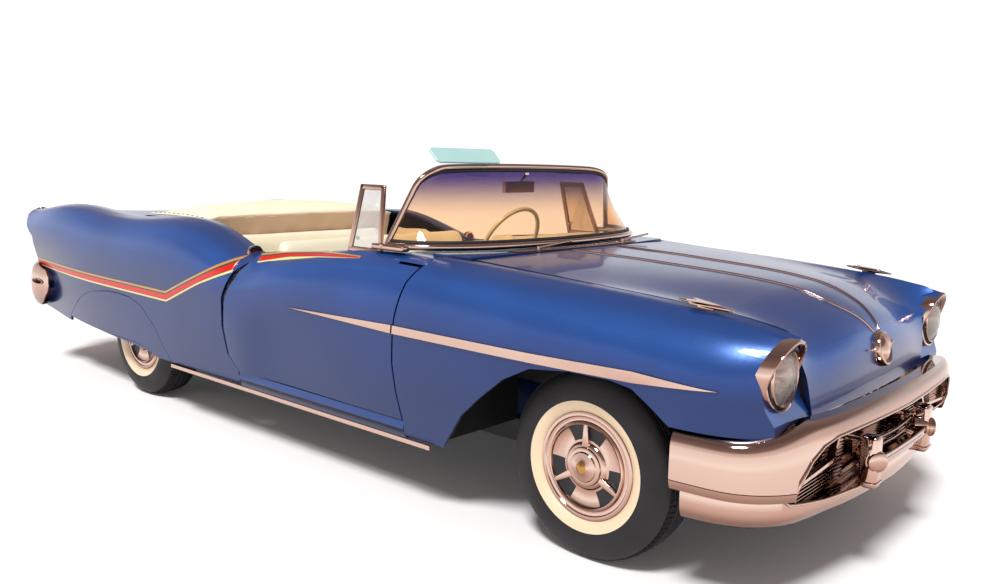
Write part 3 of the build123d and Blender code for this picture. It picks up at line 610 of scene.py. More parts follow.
# Blows a closed shape up like a stuffed pad: voxel remesh, cloth under pressure, then a cap on how far it moved
def inflate(piece, voxel, pressure=3.0, cap=0.012, frames=16):
    def baked():
        graph = bpy.context.evaluated_depsgraph_get()
        return bpy.data.meshes.new_from_object(piece.evaluated_get(graph))
    remesh = piece.modifiers.new("remesh", "REMESH")
    remesh.mode, remesh.voxel_size = "VOXEL", voxel
    fine = baked()
    piece.modifiers.clear()
    piece.data = fine
    before = [vert.co.copy() for vert in fine.vertices]
    cloth = piece.modifiers.new("cloth", "CLOTH")
    cloth.settings.quality = 4
    cloth.settings.mass = 0.4
    cloth.settings.tension_stiffness = cloth.settings.compression_stiffness = 12
    cloth.settings.bending_stiffness = 2.0
    cloth.settings.use_pressure = True
    cloth.settings.uniform_pressure_force = pressure
    cloth.settings.effector_weights.gravity = 0
    cloth.point_cache.frame_start, cloth.point_cache.frame_end = 1, frames
    scene = bpy.context.scene
    for step in range(1, frames + 1):
        scene.frame_set(step)
    swollen = baked()
    piece.modifiers.clear()
    for vert, start in zip(swollen.vertices, before):
        move = vert.co - start
        if move.length > cap:
            vert.co = start + move.normalized() * cap
    piece.data = swollen
    scene.frame_set(1)


# Long pad from a side outline of (y behind the front axle, z), with rounded ends and crowned length
def makePad(name, outline, halfWidth, endDraw=0.05, sections=24, crown=0.012):
    line = smoothLine([(0, y + carSizes["frontAxleY"], z) for y, z in outline + outline[:1]], 5)[:-1]
    middle = sum(line, Vector()) / len(line)
    bm = bmesh.new()
    verts = [bm.verts.new(spot + Vector((-halfWidth, 0, 0))) for spot in line]
    edges = [bm.edges.new((a, b)) for a, b in zip(verts, verts[1:] + verts[:1])]
    first = edges
    home = {vert: spot.copy() for vert, spot in zip(verts, line)}
    def shape(ring, share):
        away = min(1.0, (1 - abs(share)) * halfWidth / endDraw)
        draw = 0.72 + 0.28 * math.sqrt(max(0.0, 1 - (1 - away) ** 2))
        draw *= 1 + crown * (1 - share * share)
        for vert, spot in zip(ring, line):
            vert.co = middle + (spot - middle) * draw + Vector((share * halfWidth, 0, 0))
    shape(verts, -1.0)
    stops = [-1 + 0.02 * i / 2 for i in range(1, 6)] + [-0.93 + 1.86 * i / sections for i in range(sections + 1)]
    stops += [1 - 0.02 * i / 2 for i in range(5, -1, -1)]
    for share in stops:
        grown = bmesh.ops.extrude_edge_only(bm, edges=edges)["geom"]
        fresh = [item for item in grown if isinstance(item, bmesh.types.BMVert)]
        edges = [item for item in grown if isinstance(item, bmesh.types.BMEdge)
                 and item.verts[0] in fresh and item.verts[1] in fresh]
        link = {}
        for vert in fresh:
            for edge in vert.link_edges:
                other = edge.other_vert(vert)
                if other in verts:
                    link[other] = vert
        verts = [link[vert] for vert in verts]
        shape(verts, share)
    for loop in (first, edges):
        bmesh.ops.edgeloop_fill(bm, edges=loop)
    return bm


# Presses sewn channels into a pad, and gives faces their vinyl by a rule on their place
def sewChannels(piece, pitch, depth, inside, finishOf):
    mesh = piece.data
    for vert in mesh.vertices:
        if inside(vert.co):
            near = abs((vert.co.x / pitch) % 1.0 - 0.5) * 2
            vert.co -= vert.normal * depth * max(0.0, near - 0.55) ** 2 / 0.2025
    for face in mesh.polygons:
        face.material_index = finishOf(face.center)
        face.use_smooth = True
    mesh.update()


def finishPad(piece, finishes):
    piece.data.materials.clear()
    for finish in finishes:
        piece.data.materials.append(looks[finish])
    smooth = piece.modifiers.new("smooth", "SUBSURF")
    smooth.levels = smooth.render_levels = 1


seatLook = {
    "frontCushion": [(1.575, 0.330), (1.540, 0.430), (1.522, 0.560), (1.538, 0.618), (1.590, 0.645),
                     (1.760, 0.636), (1.920, 0.604), (1.955, 0.560), (1.960, 0.330)],
    "frontBack": [(1.975, 0.540), (1.992, 0.760), (2.032, 0.930), (2.052, 0.986), (2.086, 0.998), (2.114, 0.974),
                  (2.112, 0.800), (2.102, 0.335), (2.010, 0.335)],
    "rearCushion": [(2.245, 0.512), (2.216, 0.560), (2.222, 0.628), (2.270, 0.654), (2.430, 0.644), (2.580, 0.616),
                    (2.618, 0.560), (2.620, 0.512)],
    "rearBack": [(2.632, 0.560), (2.622, 0.760), (2.642, 0.920), (2.660, 0.968), (2.692, 0.978), (2.720, 0.955),
                 (2.724, 0.760), (2.724, 0.512), (2.660, 0.512)],
    "frontHalf": 0.688, "rearHalf": 0.550, "voxel": 0.015, "pleat": 0.062, "pleatDepth": 0.007,
}


def makeSeats():
    y0 = carSizes["frontAxleY"]
    finishes = ["creamVinyl", "turquoiseVinyl", "whiteVinyl"]
    plans = [
        ("frontSeatCushion", "frontCushion", seatLook["frontHalf"], "front_seat",
         lambda p: abs(p.x) < 0.54 and p.z > 0.58 and 1.60 < p.y - y0 < 1.95, lambda p: 0),
        ("frontSeatBack", "frontBack", seatLook["frontHalf"], "front_seat",
         lambda p: abs(p.x) < 0.54 and p.y - y0 < 2.05 and 0.60 < p.z < 0.90, lambda p: 0),
        ("rearSeatCushion", "rearCushion", seatLook["rearHalf"], "rear_seat",
         lambda p: abs(p.x) < 0.44 and p.z > 0.60 and 2.30 < p.y - y0 < 2.62, lambda p: 0),
        ("rearSeatBack", "rearBack", seatLook["rearHalf"], "rear_seat",
         lambda p: abs(p.x) < 0.44 and p.y - y0 < 2.66 and 0.66 < p.z < 0.885, lambda p: 0),
    ]
    for name, key, half, node, inside, _ in plans:
        bm = makePad(name, seatLook[key], half)
        piece = makePiece(name, bm, finishes, 180)
        inflate(piece, seatLook["voxel"])
        back = key.endswith("Back")
        def finishOf(place, inside=inside, back=back, half=half):
            if inside(place):
                return 1
            if back and 0.885 < place.z < 0.935:
                return 2
            return 0
        sewChannels(piece, seatLook["pleat"], seatLook["pleatDepth"], inside, finishOf)
        finishPad(piece, finishes)
        placePiece(piece, "body", "cabin_vinyl", node)


makeSeats()
print("seats made")


# Sun visor on the passenger's side: a stitched board of turquoise vinyl
visorLook = {"low": (0.992, 1.418), "high": (1.056, 1.482), "x": (-0.625, -0.200), "thick": 0.011}


def makeVisor():
    (yLow, zLow), (yHigh, zHigh) = visorLook["low"], visorLook["high"]
    length = math.hypot(yHigh - yLow, zHigh - zLow)
    width = visorLook["x"][1] - visorLook["x"][0]
    middle = Vector((sum(visorLook["x"]) / 2, (yLow + yHigh) / 2 + carSizes["frontAxleY"], (zLow + zHigh) / 2))
    lean = Matrix.Rotation(math.atan2(zHigh - zLow, yHigh - yLow), 4, "X")
    bm = bmesh.new()
    made = bmesh.ops.create_grid(bm, x_segments=28, y_segments=10, size=0.5)["verts"]
    for vert in made:  # rounds the board's corners, more at the free edge
        u, v = vert.co.x * 2, vert.co.y * 2
        reach = 0.10 if v > 0 else 0.05
        if abs(u) > 1 - reach:
            over = (abs(u) - (1 - reach)) / reach
            vert.co.y *= 1 - 0.30 * (1 - math.sqrt(max(0.0, 1 - over * over)))
    bmesh.ops.scale(bm, vec=(width, length, 1), verts=bm.verts)
    top = bmesh.ops.solidify(bm, geom=bm.faces[:], thickness=visorLook["thick"])
    bmesh.ops.translate(bm, vec=(0, 0, visorLook["thick"] / 2), verts=bm.verts)
    bmesh.ops.recalc_face_normals(bm, faces=bm.faces)
    bmesh.ops.transform(bm, matrix=Matrix.Translation(middle) @ lean, verts=bm.verts)
    piece = makePiece("sunVisor", bm, ["paleVinyl"], 60)
    bevel = piece.modifiers.new("edge", "BEVEL")
    bevel.width, bevel.segments = 0.004, 3
    bevel.limit_method = "ANGLE"
    return placePiece(piece, "body", "cabin_vinyl", "sun_visors")


makeVisor()
print("visor made")


# Soft cover over the folded top: heights across at five places along, as in the part's table
coverLook = {
    "rows": [(2.743, (1.064, 1.082, 1.090, 1.092)), (2.833, (1.070, 1.112, 1.132, 1.138)),
             (3.003, (1.074, 1.116, 1.138, 1.146)), (3.193, (1.072, 1.096, 1.108, 1.112)),
             (3.333, (1.068, 1.066, 1.062, 1.060))],
    "halves": (0.702, 0.600, 0.300, 0.0), "thick": 0.004, "snaps": 11, "snapRadius": 0.0075, "wrinkle": 0.006,
}


def between(value, stops):
    for (low, first), (high, second) in zip(stops, stops[1:]):
        if value <= high:
            t = max(0.0, (value - low) / (high - low))
            t = t * t * (3 - 2 * t)
            return first + (second - first) * t
    return stops[-1][1]


def coverHeight(x, y):
    rows = coverLook["rows"]
    at = [between(y, [(row[0], row[1][i]) for row in rows]) for i in range(4)]
    return between(abs(x), sorted((half, at[i]) for i, half in enumerate(coverLook["halves"])))


def makeBootCover():
    y0 = carSizes["frontAxleY"]
    rows = coverLook["rows"]
    front, rear, half = rows[0][0], rows[-1][0], coverLook["halves"][0]
    bm = bmesh.new()
    made = bmesh.ops.create_grid(bm, x_segments=110, y_segments=60, size=0.5)["verts"]
    for vert in made:
        x = vert.co.x * 2 * half
        y = front + (vert.co.y + 0.5) * (rear - front)
        bow = 0.045 * (1 - (x / half) ** 2)  # the front edge bows forward in the middle
        y -= bow * (1 - (y - front) / (rear - front))
        edge = min(1.0, (half - abs(x)) / 0.10, (rear - y) / 0.08)
        fold = noise.noise(Vector((x * 2.2, y * 9.0, 0.3))) * 0.7 + noise.noise(Vector((x * 7.0, y * 5.0, 2.1))) * 0.4
        vert.co = Vector((x, y + y0, coverHeight(x, max(front, y)) + fold * coverLook["wrinkle"] * max(0.0, edge)))
    rolled = [edge for edge in bm.edges if edge.is_boundary]
    hem = bmesh.ops.extrude_edge_only(bm, edges=rolled)["geom"]
    hemVerts = [item for item in hem if isinstance(item, bmesh.types.BMVert)]
    for vert in hemVerts:
        vert.co.z -= 0.022 if abs(vert.co.x) < half - 0.02 and vert.co.y - y0 < front + 0.02 else 0.010
    piece = makePiece("bootCover", bm, ["coverVinyl"], 180)
    if piece.data.polygons[0].normal.z < 0:
        piece.data.flip_normals()
    wall = piece.modifiers.new("cloth", "SOLIDIFY")
    wall.thickness, wall.offset = coverLook["thick"], -1.0
    return placePiece(piece, "body", "cover_vinyl", "boot_cover")


def makeSnaps():
    y0 = carSizes["frontAxleY"]
    rows = coverLook["rows"]
    half = coverLook["halves"][0] - 0.016
    bm = bmesh.new()
    places = []
    for i in range(coverLook["snaps"]):
        y = rows[0][0] + 0.05 + i * (rows[-1][0] - rows[0][0] - 0.08) / (coverLook["snaps"] - 1)
        places += [(half, y), (-half, y)]
    for i in range(-5, 6):
        places.append((i * 0.125, rows[-1][0] - 0.016))
    radius = coverLook["snapRadius"]
    for x, y in places:
        dome = [(0.0, radius), (0.0015, radius * 0.95), (0.0030, radius * 0.7), (0.0036, 0.0)]
        latheInto(bm, dome, Vector((x, y + y0, coverHeight(x, y) + 0.0005)), (0, 0, 1), 14)
    return placePiece(makePiece("coverSnaps", bm, ["brightTrim"]), "body", "chrome_trim")


makeBootCover()
makeSnaps()
print("boot cover made")


# Lining cloth that hangs in folds from the cover's front edge to the shelf behind the rear seat
liningLook = {"half": 0.690, "top": 1.082, "low": 0.900, "y": 2.738, "back": 2.775, "fold": 0.010, "folds": 13}


def makeLining():
    bm = bmesh.new()
    made = bmesh.ops.create_grid(bm, x_segments=120, y_segments=14, size=0.5)["verts"]
    for vert in made:
        share = vert.co.y + 0.5
        x = vert.co.x * 2 * liningLook["half"]
        bow = 0.045 * (1 - (x / liningLook["half"]) ** 2)
        wave = math.sin(x * liningLook["folds"] * 3.1 + 2 * noise.noise(Vector((x * 3, share * 2, 0)))) * 0.5
        wave += noise.noise(Vector((x * 9, share * 3, 1.7)))
        y = liningLook["y"] - bow * (0.35 + 0.65 * share) + (liningLook["back"] - liningLook["y"]) * (1 - share)
        top = min(liningLook["top"], coverHeight(x, coverLook["rows"][0][0]) - 0.004)
        y += wave * liningLook["fold"] * (1 - share * 0.6)
        z = liningLook["low"] + (top - liningLook["low"]) * share
        vert.co = Vector((x, y + carSizes["frontAxleY"], z))
    piece = makePiece("coverLining", bm, ["peachLining"], 180)
    wall = piece.modifiers.new("cloth", "SOLIDIFY")
    wall.thickness, wall.offset = 0.003, 0.0
    return placePiece(piece, "body", "cover_vinyl")


makeLining()
print("lining made")


# Faces of the solids that carry another finish, by their place
def behindAxle(y):
    return y - carSizes["frontAxleY"]


for side in ("left", "right"):
    paintFaces("door_" + side, "creamVinyl", lambda c, n: abs(c.x) < 0.815 and c.z > 0.50)
    paintFaces("door_" + side, "turquoiseVinyl", lambda c, n: abs(c.x) < 0.815 and c.z <= 0.50)
paintFaces("floor_pan", "carpet", lambda c, n: n.z > 0.5 and 0.72 < behindAxle(c.y) < 2.75 and abs(c.x) < 0.79)
paintFaces("dashboard", "dashTop", lambda c, n: n.z > 0.35)
paintFaces("cowl", "blackPaint", lambda c, n: abs(n.z) < 0.5 and behindAxle(c.y) < 0.70 and c.z > 1.02
           and abs(c.x) < 0.47)
paintFaces("steering_wheel", "brightTrim", lambda c, n: (c - Vector((0.38, 1.42 - 1.907, 0.98))).length < 0.168
           and (c - Vector((0.38, 1.42 - 1.907, 0.98))).length > 0.05)


# Black rubber inside each vent window's bright frame, and the latch knob on it
ventLook = {"low": (0.8215, 1.1500, 1.3285, 1.0250), "high": (0.7470, 1.2165, 1.3390, 1.2960), "radius": 0.0045}


def makeVentSeal(name, side, body):
    (xl, fl, rl, zl), (xh, fh, rh, zh) = ventLook["low"], ventLook["high"]
    y0 = carSizes["frontAxleY"]
    corners = [Vector((side * x, y + y0, z)) for x, y, z in
               ((xl, fl, zl), (xl, rl, zl), (xh, rh, zh), (xh, fh, zh))]
    spots = []
    for start, end in zip(corners, corners[1:] + corners[:1]):
        spots += [start + (end - start) * t for t in (0.03, 0.1, 0.3, 0.5, 0.7, 0.9, 0.97)]
    bm = bmesh.new()
    rodInto(bm, spots, ventLook["radius"], 8, 0, closed=True)
    latch = corners[1] + (corners[2] - corners[1]) * 0.18 + Vector((-side * 0.006, -0.012, 0))
    latheInto(bm, [(0.0, 0.0), (0.0, 0.009), (0.008, 0.010), (0.011, 0.006), (0.0115, 0.0)], latch, (-side, 0, 0), 20,
              finish=1)
    return placePiece(makePiece(name, bm, ["seal", "brightTrim"], 50), body, "chassis_black")


for label, side in (("left", 1), ("right", -1)):
    makeVentSeal("ventSeal_" + label, side, "door_" + label)
print("seals made")


# Louvred bright strip over the cowl's air intake
cowlLook = {"ribs": 24, "pitch": 0.038, "y": 0.653, "bow": 0.030, "half": 0.46, "z": 1.0405, "width": 0.040}


def makeCowlStrip():
    y0 = carSizes["frontAxleY"]
    bm = bmesh.new()
    for i in range(cowlLook["ribs"] + 1):
        x = (i - cowlLook["ribs"] / 2) * cowlLook["pitch"]
        y = cowlLook["y"] + cowlLook["bow"] * (x / cowlLook["half"]) ** 2 + y0
        spin = Matrix.Rotation(2 * cowlLook["bow"] * x / cowlLook["half"] ** 2, 4, "Z")
        place = Matrix.Translation((x, y, cowlLook["z"] + 0.003)) @ spin
        blockInto(bm, (0.007, cowlLook["width"], 0.0055), place, 0.0015, 2)
    for edge in (-1, 1):
        points = []
        for i in range(41):
            x = (i / 20 - 1) * (cowlLook["half"] + 0.012)
            y = cowlLook["y"] + cowlLook["bow"] * (x / cowlLook["half"]) ** 2 + edge * cowlLook["width"] / 2
            points.append((x, y + y0, cowlLook["z"] + 0.0035))
        rodInto(bm, points, 0.0035, 8)
    return placePiece(makePiece("cowlVentStrip", bm, ["brightTrim"]), "body", "chrome_trim")


makeCowlStrip()


# Dash: hooded instrument pod before the driver, speaker grille, radio push buttons, knobs and a glove box door
dashLook = {"face": 1.134, "knobs": (-0.05, 0.02, 0.09, 0.16, 0.60), "buttons": 5, "podX": 0.38, "podHalf": 0.19}


def makeDash():
    y0 = carSizes["frontAxleY"]
    bm = bmesh.new()
    face = dashLook["face"] + y0
    # cluster: bright bezel round a black panel with a strip speedometer
    at = Matrix.Translation((dashLook["podX"], face + 0.004, 0.952))
    blockInto(bm, (dashLook["podHalf"] * 2, 0.018, 0.082), at, 0.008, 3, 1)
    blockInto(bm, (dashLook["podHalf"] * 2 - 0.030, 0.008, 0.056), at @ Matrix.Translation((0, 0.008, 0)), 0.003, 2, 2)
    for i in range(13):  # dial marks, bare of figures
        mark = Matrix.Translation((dashLook["podX"] - 0.15 + i * 0.025, face + 0.0165, 0.966))
        blockInto(bm, (0.0016, 0.0016, 0.014 if i % 2 == 0 else 0.008), mark, 0, 1, 3)
    needle = Matrix.Translation((dashLook["podX"] - 0.11, face + 0.0175, 0.952))
    blockInto(bm, (0.003, 0.0016, 0.044), needle, 0, 1, 4)
    for x in (-0.02, 0.10):  # clock and radio surrounds in the middle
        place = Matrix.Translation((x, face + 0.002, 0.958))
        blockInto(bm, (0.105, 0.012, 0.052), place, 0.004, 2, 1)
        blockInto(bm, (0.088, 0.006, 0.036), place @ Matrix.Translation((0, 0.0065, 0)), 0.002, 2, 2)
    for i in range(dashLook["buttons"]):
        place = Matrix.Translation((-0.054 + i * 0.017, face + 0.006, 0.914))
        blockInto(bm, (0.013, 0.018, 0.012), place, 0.002, 2, 3)
    for x in dashLook["knobs"]:
        knob = [(0.0, 0.0), (0.0, 0.010), (0.006, 0.0115), (0.018, 0.0100), (0.021, 0.006), (0.0215, 0.0)]
        latheInto(bm, knob, Vector((x, face - 0.006, 0.884)), (0, 1, 0), 24, finish=3)
        ring = [(-0.001, 0.0), (-0.001, 0.014), (0.002, 0.014), (0.003, 0.011), (0.003, 0.0)]
        latheInto(bm, ring, Vector((x, face - 0.006, 0.884)), (0, 1, 0), 24, finish=1)
    door = Matrix.Translation((-0.42, face + 0.001, 0.946))
    blockInto(bm, (0.40, 0.010, 0.096), door, 0.004, 3, 0)
    blockInto(bm, (0.40, 0.006, 0.010), door @ Matrix.Translation((0, 0.006, 0)), 0.002, 2, 1)
    latheInto(bm, [(0.0, 0.0), (0.0, 0.012), (0.010, 0.011), (0.014, 0.0)], Vector((-0.42, face + 0.009, 0.968)),
              (0, 1, 0), 24, finish=1)
    for i in range(14):  # speaker slots on the crown of the dash
        place = Matrix.Translation((-0.13 + i * 0.020, 1.052 + y0, 1.0275))
        blockInto(bm, (0.007, 0.070, 0.006), place, 0.002, 2, 1)
    piece = makePiece("dashDetails", bm, ["dashFace", "brightTrim", "blackPlastic", "creamPlastic", "redGlass"])
    return placePiece(piece, "body", "dash_paint")


makeDash()
print("cowl strip and dash made")


# Surfaces of the body that trims are laid on
def surfaceOf(*nodes):
    spots, faces = [], []
    for name in nodes:
        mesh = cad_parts[name].data
        start = len(spots)
        spots += [vert.co.copy() for vert in mesh.vertices]
        faces += [[start + i for i in face.vertices] for face in mesh.polygons]
    return BVHTree.FromPolygons(spots, faces)


# Point where a ray meets a surface, lifted off it; nothing where it misses
def land(surface, start, direction, lift=0.0):
    spot, normal, _, _ = surface.ray_cast(Vector(start), Vector(direction))
    if spot is None:
        return None
    if normal.dot(Vector(direction)) > 0:
        normal = -normal
    return spot + normal * lift


# Prism of a closed outline: along Y the outline is (x, z), along X it is (y, z), along Z it is (x, y)
def prismInto(bm, outline, axis, low, high, finish=0):
    def place(a, b, along):
        return {"X": (along, a, b), "Y": (a, along, b), "Z": (a, b, along)}[axis]
    rows = [[place(a, b, along) for a, b in outline] for along in (low, high)]
    return skinInto(bm, rows, wrap=True, caps=True, finish=finish)


def wallPiece(piece, thickness, offset=-1.0):
    wall = piece.modifiers.new("wall", "SOLIDIFY")
    wall.thickness, wall.offset = thickness, offset
    return piece


# Cuts a piece by a closed tool mesh and keeps the result as its mesh
def cutPiece(piece, toolMesh, operation):
    tool = bpy.data.objects.new("tool", toolMesh)
    bpy.context.scene.collection.objects.link(tool)
    cut = piece.modifiers.new("cut", "BOOLEAN")
    cut.operation, cut.solver, cut.object = operation, "EXACT", tool
    graph = bpy.context.evaluated_depsgraph_get()
    result = bpy.data.meshes.new_from_object(piece.evaluated_get(graph))
    piece.modifiers.clear()
    piece.data = result
    bpy.data.objects.remove(tool)
    return piece


def toolFrom(outlines, axis, low, high):
    bm = bmesh.new()
    for outline in outlines:
        prismInto(bm, outline, axis, low, high)
    bmesh.ops.recalc_face_normals(bm, faces=bm.faces)
    mesh = bpy.data.meshes.new("tool")
    bm.to_mesh(mesh)
    bm.free()
    return mesh


def behindFront(y):
    return y + carSizes["frontAxleY"]


# Painted band: follows the flank from the vent window down to the V and back to the tail
def bandPiece(name, surface, side, yFrom, yTo, body):
    rows = []
    steps = int((yTo - yFrom) / 0.022)
    for i in range(steps + 1):
        y = yFrom + (yTo - yFrom) * i / steps
        low, high = straight(y, bandLook["bottom"]), straight(y, bandLook["top"])
        row = [land(surface, (side * 1.3, behindFront(y), low + (high - low) * j / 8), (-side, 0, 0), 0.0026)
               for j in range(9)]
        if all(row):
            rows.append(row)
    bm = bmesh.new()
    skinInto(bm, rows)
    piece = makePiece(name, bm, ["stripes"], 40)
    if piece.data.polygons[len(piece.data.polygons) // 2].normal.x * side < 0:
        piece.data.flip_normals()
    return placePiece(wallPiece(piece, 0.004), body, "chrome_trim")


def straight(value, stops):
    for (low, first), (high, second) in zip(stops, stops[1:]):
        if value <= high:
            return first + (second - first) * max(0.0, (value - low) / (high - low))
    return stops[-1][1]


for label, side in (("left", 1), ("right", -1)):
    quarter, door = surfaceOf("rear_quarter_" + label), surfaceOf("door_" + label)
    bandPiece("doorBand_" + label, door, side, 1.206, 1.972, "door_" + label)
    bandPiece("quarterBand_" + label, quarter, side, 2.004, 4.486, "body")
print("bands laid")


# Front bumper: half plan as (x, setback from the nose), and each bar's section as (z, setback)
bumperLook = {
    "noseY": -0.842,
    "upperPlan": [(0, 0.004), (0.300, 0.010), (0.560, 0.030), (0.740, 0.070), (0.862, 0.140), (0.938, 0.252),
                  (0.960, 0.442)],
    "lowerPlan": [(0, 0.036), (0.300, 0.052), (0.560, 0.090), (0.718, 0.130), (0.820, 0.202), (0.878, 0.302),
                  (0.903, 0.430)],
    "upper": [(0.4020, 0.070), (0.4000, 0.022), (0.4040, 0.010), (0.4200, 0.003), (0.4330, 0.000), (0.4345, 0.003),
              (0.4360, 0.000), (0.5000, 0.000), (0.5480, 0.002), (0.5700, 0.008), (0.5850, 0.020), (0.5910, 0.034),
              (0.5900, 0.080)],
    "lower": [(0.2830, 0.120), (0.2820, 0.052), (0.2860, 0.034), (0.2980, 0.018), (0.3180, 0.006), (0.3400, 0.001),
              (0.3800, 0.000), (0.3900, 0.002), (0.3960, 0.008), (0.3970, 0.050)],
    "mouth": [(0, 0.588), (0.300, 0.592), (0.520, 0.592), (0.610, 0.588), (0.680, 0.570), (0.735, 0.530),
              (0.775, 0.470), (0.784, 0.425), (0.772, 0.392), (0.735, 0.370), (0.560, 0.354), (0.350, 0.350),
              (0.262, 0.356), (0.250, 0.448)],
    "arch": 0.055, "archFrom": 0.96, "archOver": 0.26, "wall": 0.004, "lip": 0.0055, "guardX": 0.285, "guardZ": 0.440,
    "bullet": [(-0.046, 0.0), (-0.046, 0.042), (0.0, 0.042), (0.006, 0.040), (0.008, 0.035), (0.014, 0.035),
               (0.016, 0.039), (0.022, 0.039), (0.024, 0.034), (0.030, 0.034), (0.032, 0.037), (0.038, 0.036),
               (0.041, 0.032), (0.044, 0.020), (0.045, 0.0)],
}


def bothSides(half):
    return [(-x, other) for x, other in half[:0:-1]] + list(half)


def barRows(plan, section, endY, way, arch=0.0):
    line = smoothLine([(x, endY + way * back, 0) for x, back in bothSides(plan)], 8)
    rows = []
    for z, back in section:
        row = []
        for i, spot in enumerate(line):
            ahead, behind = line[min(i + 1, len(line) - 1)], line[max(i - 1, 0)]
            along = (ahead - behind).normalized()
            inward = Vector((-along.y, along.x, 0)) * way
            t = min(1.0, max(0.0, (bumperLook["archFrom"] - abs(spot.x)) / bumperLook["archOver"]))
            rise = arch * t * t * (3 - 2 * t) * max(0.0, z - 0.44) / 0.15
            row.append(Vector((spot.x, spot.y, z + rise)) + inward * back)
        rows.append(row)
    return rows


def makeFrontBumper():
    nose = behindFront(bumperLook["noseY"])
    bm = bmesh.new()
    skinInto(bm, barRows(bumperLook["upperPlan"], bumperLook["upper"], nose, 1, bumperLook["arch"]))
    skinInto(bm, barRows(bumperLook["lowerPlan"], bumperLook["lower"], nose, 1))
    if sum(face.normal.y for face in bm.faces) > 0:
        bmesh.ops.reverse_faces(bm, faces=bm.faces)
    bm.normal_update()
    if sum(face.normal.y * face.calc_area() for face in bm.faces) > 0:
        bmesh.ops.reverse_faces(bm, faces=bm.faces)
    face = BVHTree.FromBMesh(bm)
    piece = makePiece("frontBumper", bm, ["chrome"], 30, recalc=False)
    wallPiece(piece, bumperLook["wall"])
    half = bumperLook["mouth"]
    outline = half + [(-x, z) for x, z in half[:0:-1]]
    cutPiece(piece, toolFrom([outline], "Y", nose - 0.1, nose + 0.22), "DIFFERENCE")
    piece.data.set_sharp_from_angle(angle=math.radians(32))
    placePiece(piece, "body", "chrome_trim", "front_bumper")
    # rolled lip round the mouth
    bm = bmesh.new()
    spots = []
    for (x, z), (nextX, nextZ) in zip(outline, outline[1:] + outline[:1]):
        steps = max(2, int(math.hypot(nextX - x, nextZ - z) / 0.03))
        for i in range(steps):
            t = i / steps
            at = (x + (nextX - x) * t, z + (nextZ - z) * t)
            hit = land(face, (at[0], nose - 0.3, at[1]), (0, 1, 0), 0.0)
            spots.append(hit if hit else Vector((at[0], nose + 0.05, at[1])))
    for _ in range(3):  # eases the lip over the step between the bars
        depths = [spot.y for spot in spots]
        for i, spot in enumerate(spots):
            spot.y = (depths[i - 1] + depths[i] + depths[(i + 1) % len(spots)]) / 3
    rodInto(bm, spots, bumperLook["lip"], 10, 0, closed=True)
    floorLine = [spot for spot in barRows(bumperLook["lowerPlan"], [(0.346, 0.006)], nose, 1)[0] if abs(spot.x) < 0.765]
    tray = skinInto(bm, [floorLine, [Vector((spot.x * 0.985, nose + 0.175, spot.z)) for spot in floorLine]])
    bmesh.ops.solidify(bm, geom=tray, thickness=0.004)
    for side in (1, -1):
        post = Matrix.Translation((side * bumperLook["guardX"], nose + 0.040, 0.433))
        blockInto(bm, (0.064, 0.062, 0.186), post, 0.014, 4)
        ring = Matrix.Translation((side * bumperLook["guardX"], nose + 0.040, 0.360))
        blockInto(bm, (0.072, 0.070, 0.010), ring, 0.004, 2)
        aim = Vector((side * 0.62, -0.76, -0.08)).normalized()
        latheInto(bm, bumperLook["bullet"], Vector((side * (bumperLook["guardX"] - 0.006), nose + 0.036,
                  bumperLook["guardZ"])), aim, 40)
    placePiece(makePiece("bumperGuards", bm, ["chrome"], 30), "body", "chrome_trim")


makeFrontBumper()


# Grille: fine ribs in each wing, a swept strip that rises to the middle, and a row of squares above it
grilleLook = {"backY": -0.690, "ribs": 17, "ribPitch": 0.0118, "ribFrom": 0.362, "ribX": (0.300, 0.775),
              "squares": 12, "squarePitch": 0.088,
              "strip": [(0, 0.545), (0.400, 0.545), (0.438, 0.535), (0.472, 0.482), (0.498, 0.463), (0.775, 0.446),
                        (0.775, 0.457), (0.502, 0.474), (0.486, 0.484), (0.453, 0.546), (0.410, 0.557), (0, 0.557)]}


def makeGrille():
    y = behindFront(grilleLook["backY"])
    bm = bmesh.new()
    blockInto(bm, (1.56, 0.006, 0.220), Matrix.Translation((0, y + 0.012, 0.510)), 0.002, 2, 1)
    blockInto(bm, (1.46, 0.006, 0.110), Matrix.Translation((0, y + 0.012, 0.350)), 0.002, 2, 1)
    low, high = grilleLook["ribX"]
    for side in (1, -1):
        for i in range(grilleLook["ribs"]):
            z = grilleLook["ribFrom"] + i * grilleLook["ribPitch"]
            outer = high - max(0.0, z - 0.47) * 0.9 if z > 0.404 else 0.705  # the low ones end behind the bar
            rib = Matrix.Translation((side * (low + outer) / 2, y - 0.010, z))
            blockInto(bm, (outer - low, 0.030, 0.0040), rib, 0.0015, 2, 0)
        outline = [(side * x, z) for x, z in grilleLook["strip"]]
        prismInto(bm, outline, "Y", y - 0.060, y - 0.036, 0)
    for i in range(grilleLook["squares"]):
        x = (i - (grilleLook["squares"] - 1) / 2) * grilleLook["squarePitch"]
        for shift in (-0.034, 0.034):
            blockInto(bm, (0.007, 0.030, 0.030), Matrix.Translation((x + shift, y - 0.030, 0.573)), 0.002, 2, 0)
        for z in (0.561, 0.586):
            blockInto(bm, (0.070, 0.030, 0.004), Matrix.Translation((x, y - 0.030, z)), 0.0015, 2, 0)
    for z in (0.452, 0.480):  # bars between the guards
        rodInto(bm, smoothLine([(-0.25, y - 0.085, z), (0, y - 0.100, z), (0.25, y - 0.085, z)], 8), 0.007, 10, 0)
    for side in (1, -1):  # stays that carry the bars, out of sight behind the mouth
        blockInto(bm, (0.030, 0.080, 0.060), Matrix.Translation((side * 0.25, y - 0.050, 0.466)), 0.004, 2, 1)
    return placePiece(makePiece("grilleAndBars", bm, ["chrome", "blackPaint"], 30), "body", "chrome_trim", "grille")


makeGrille()
print("front bumper and grille made")


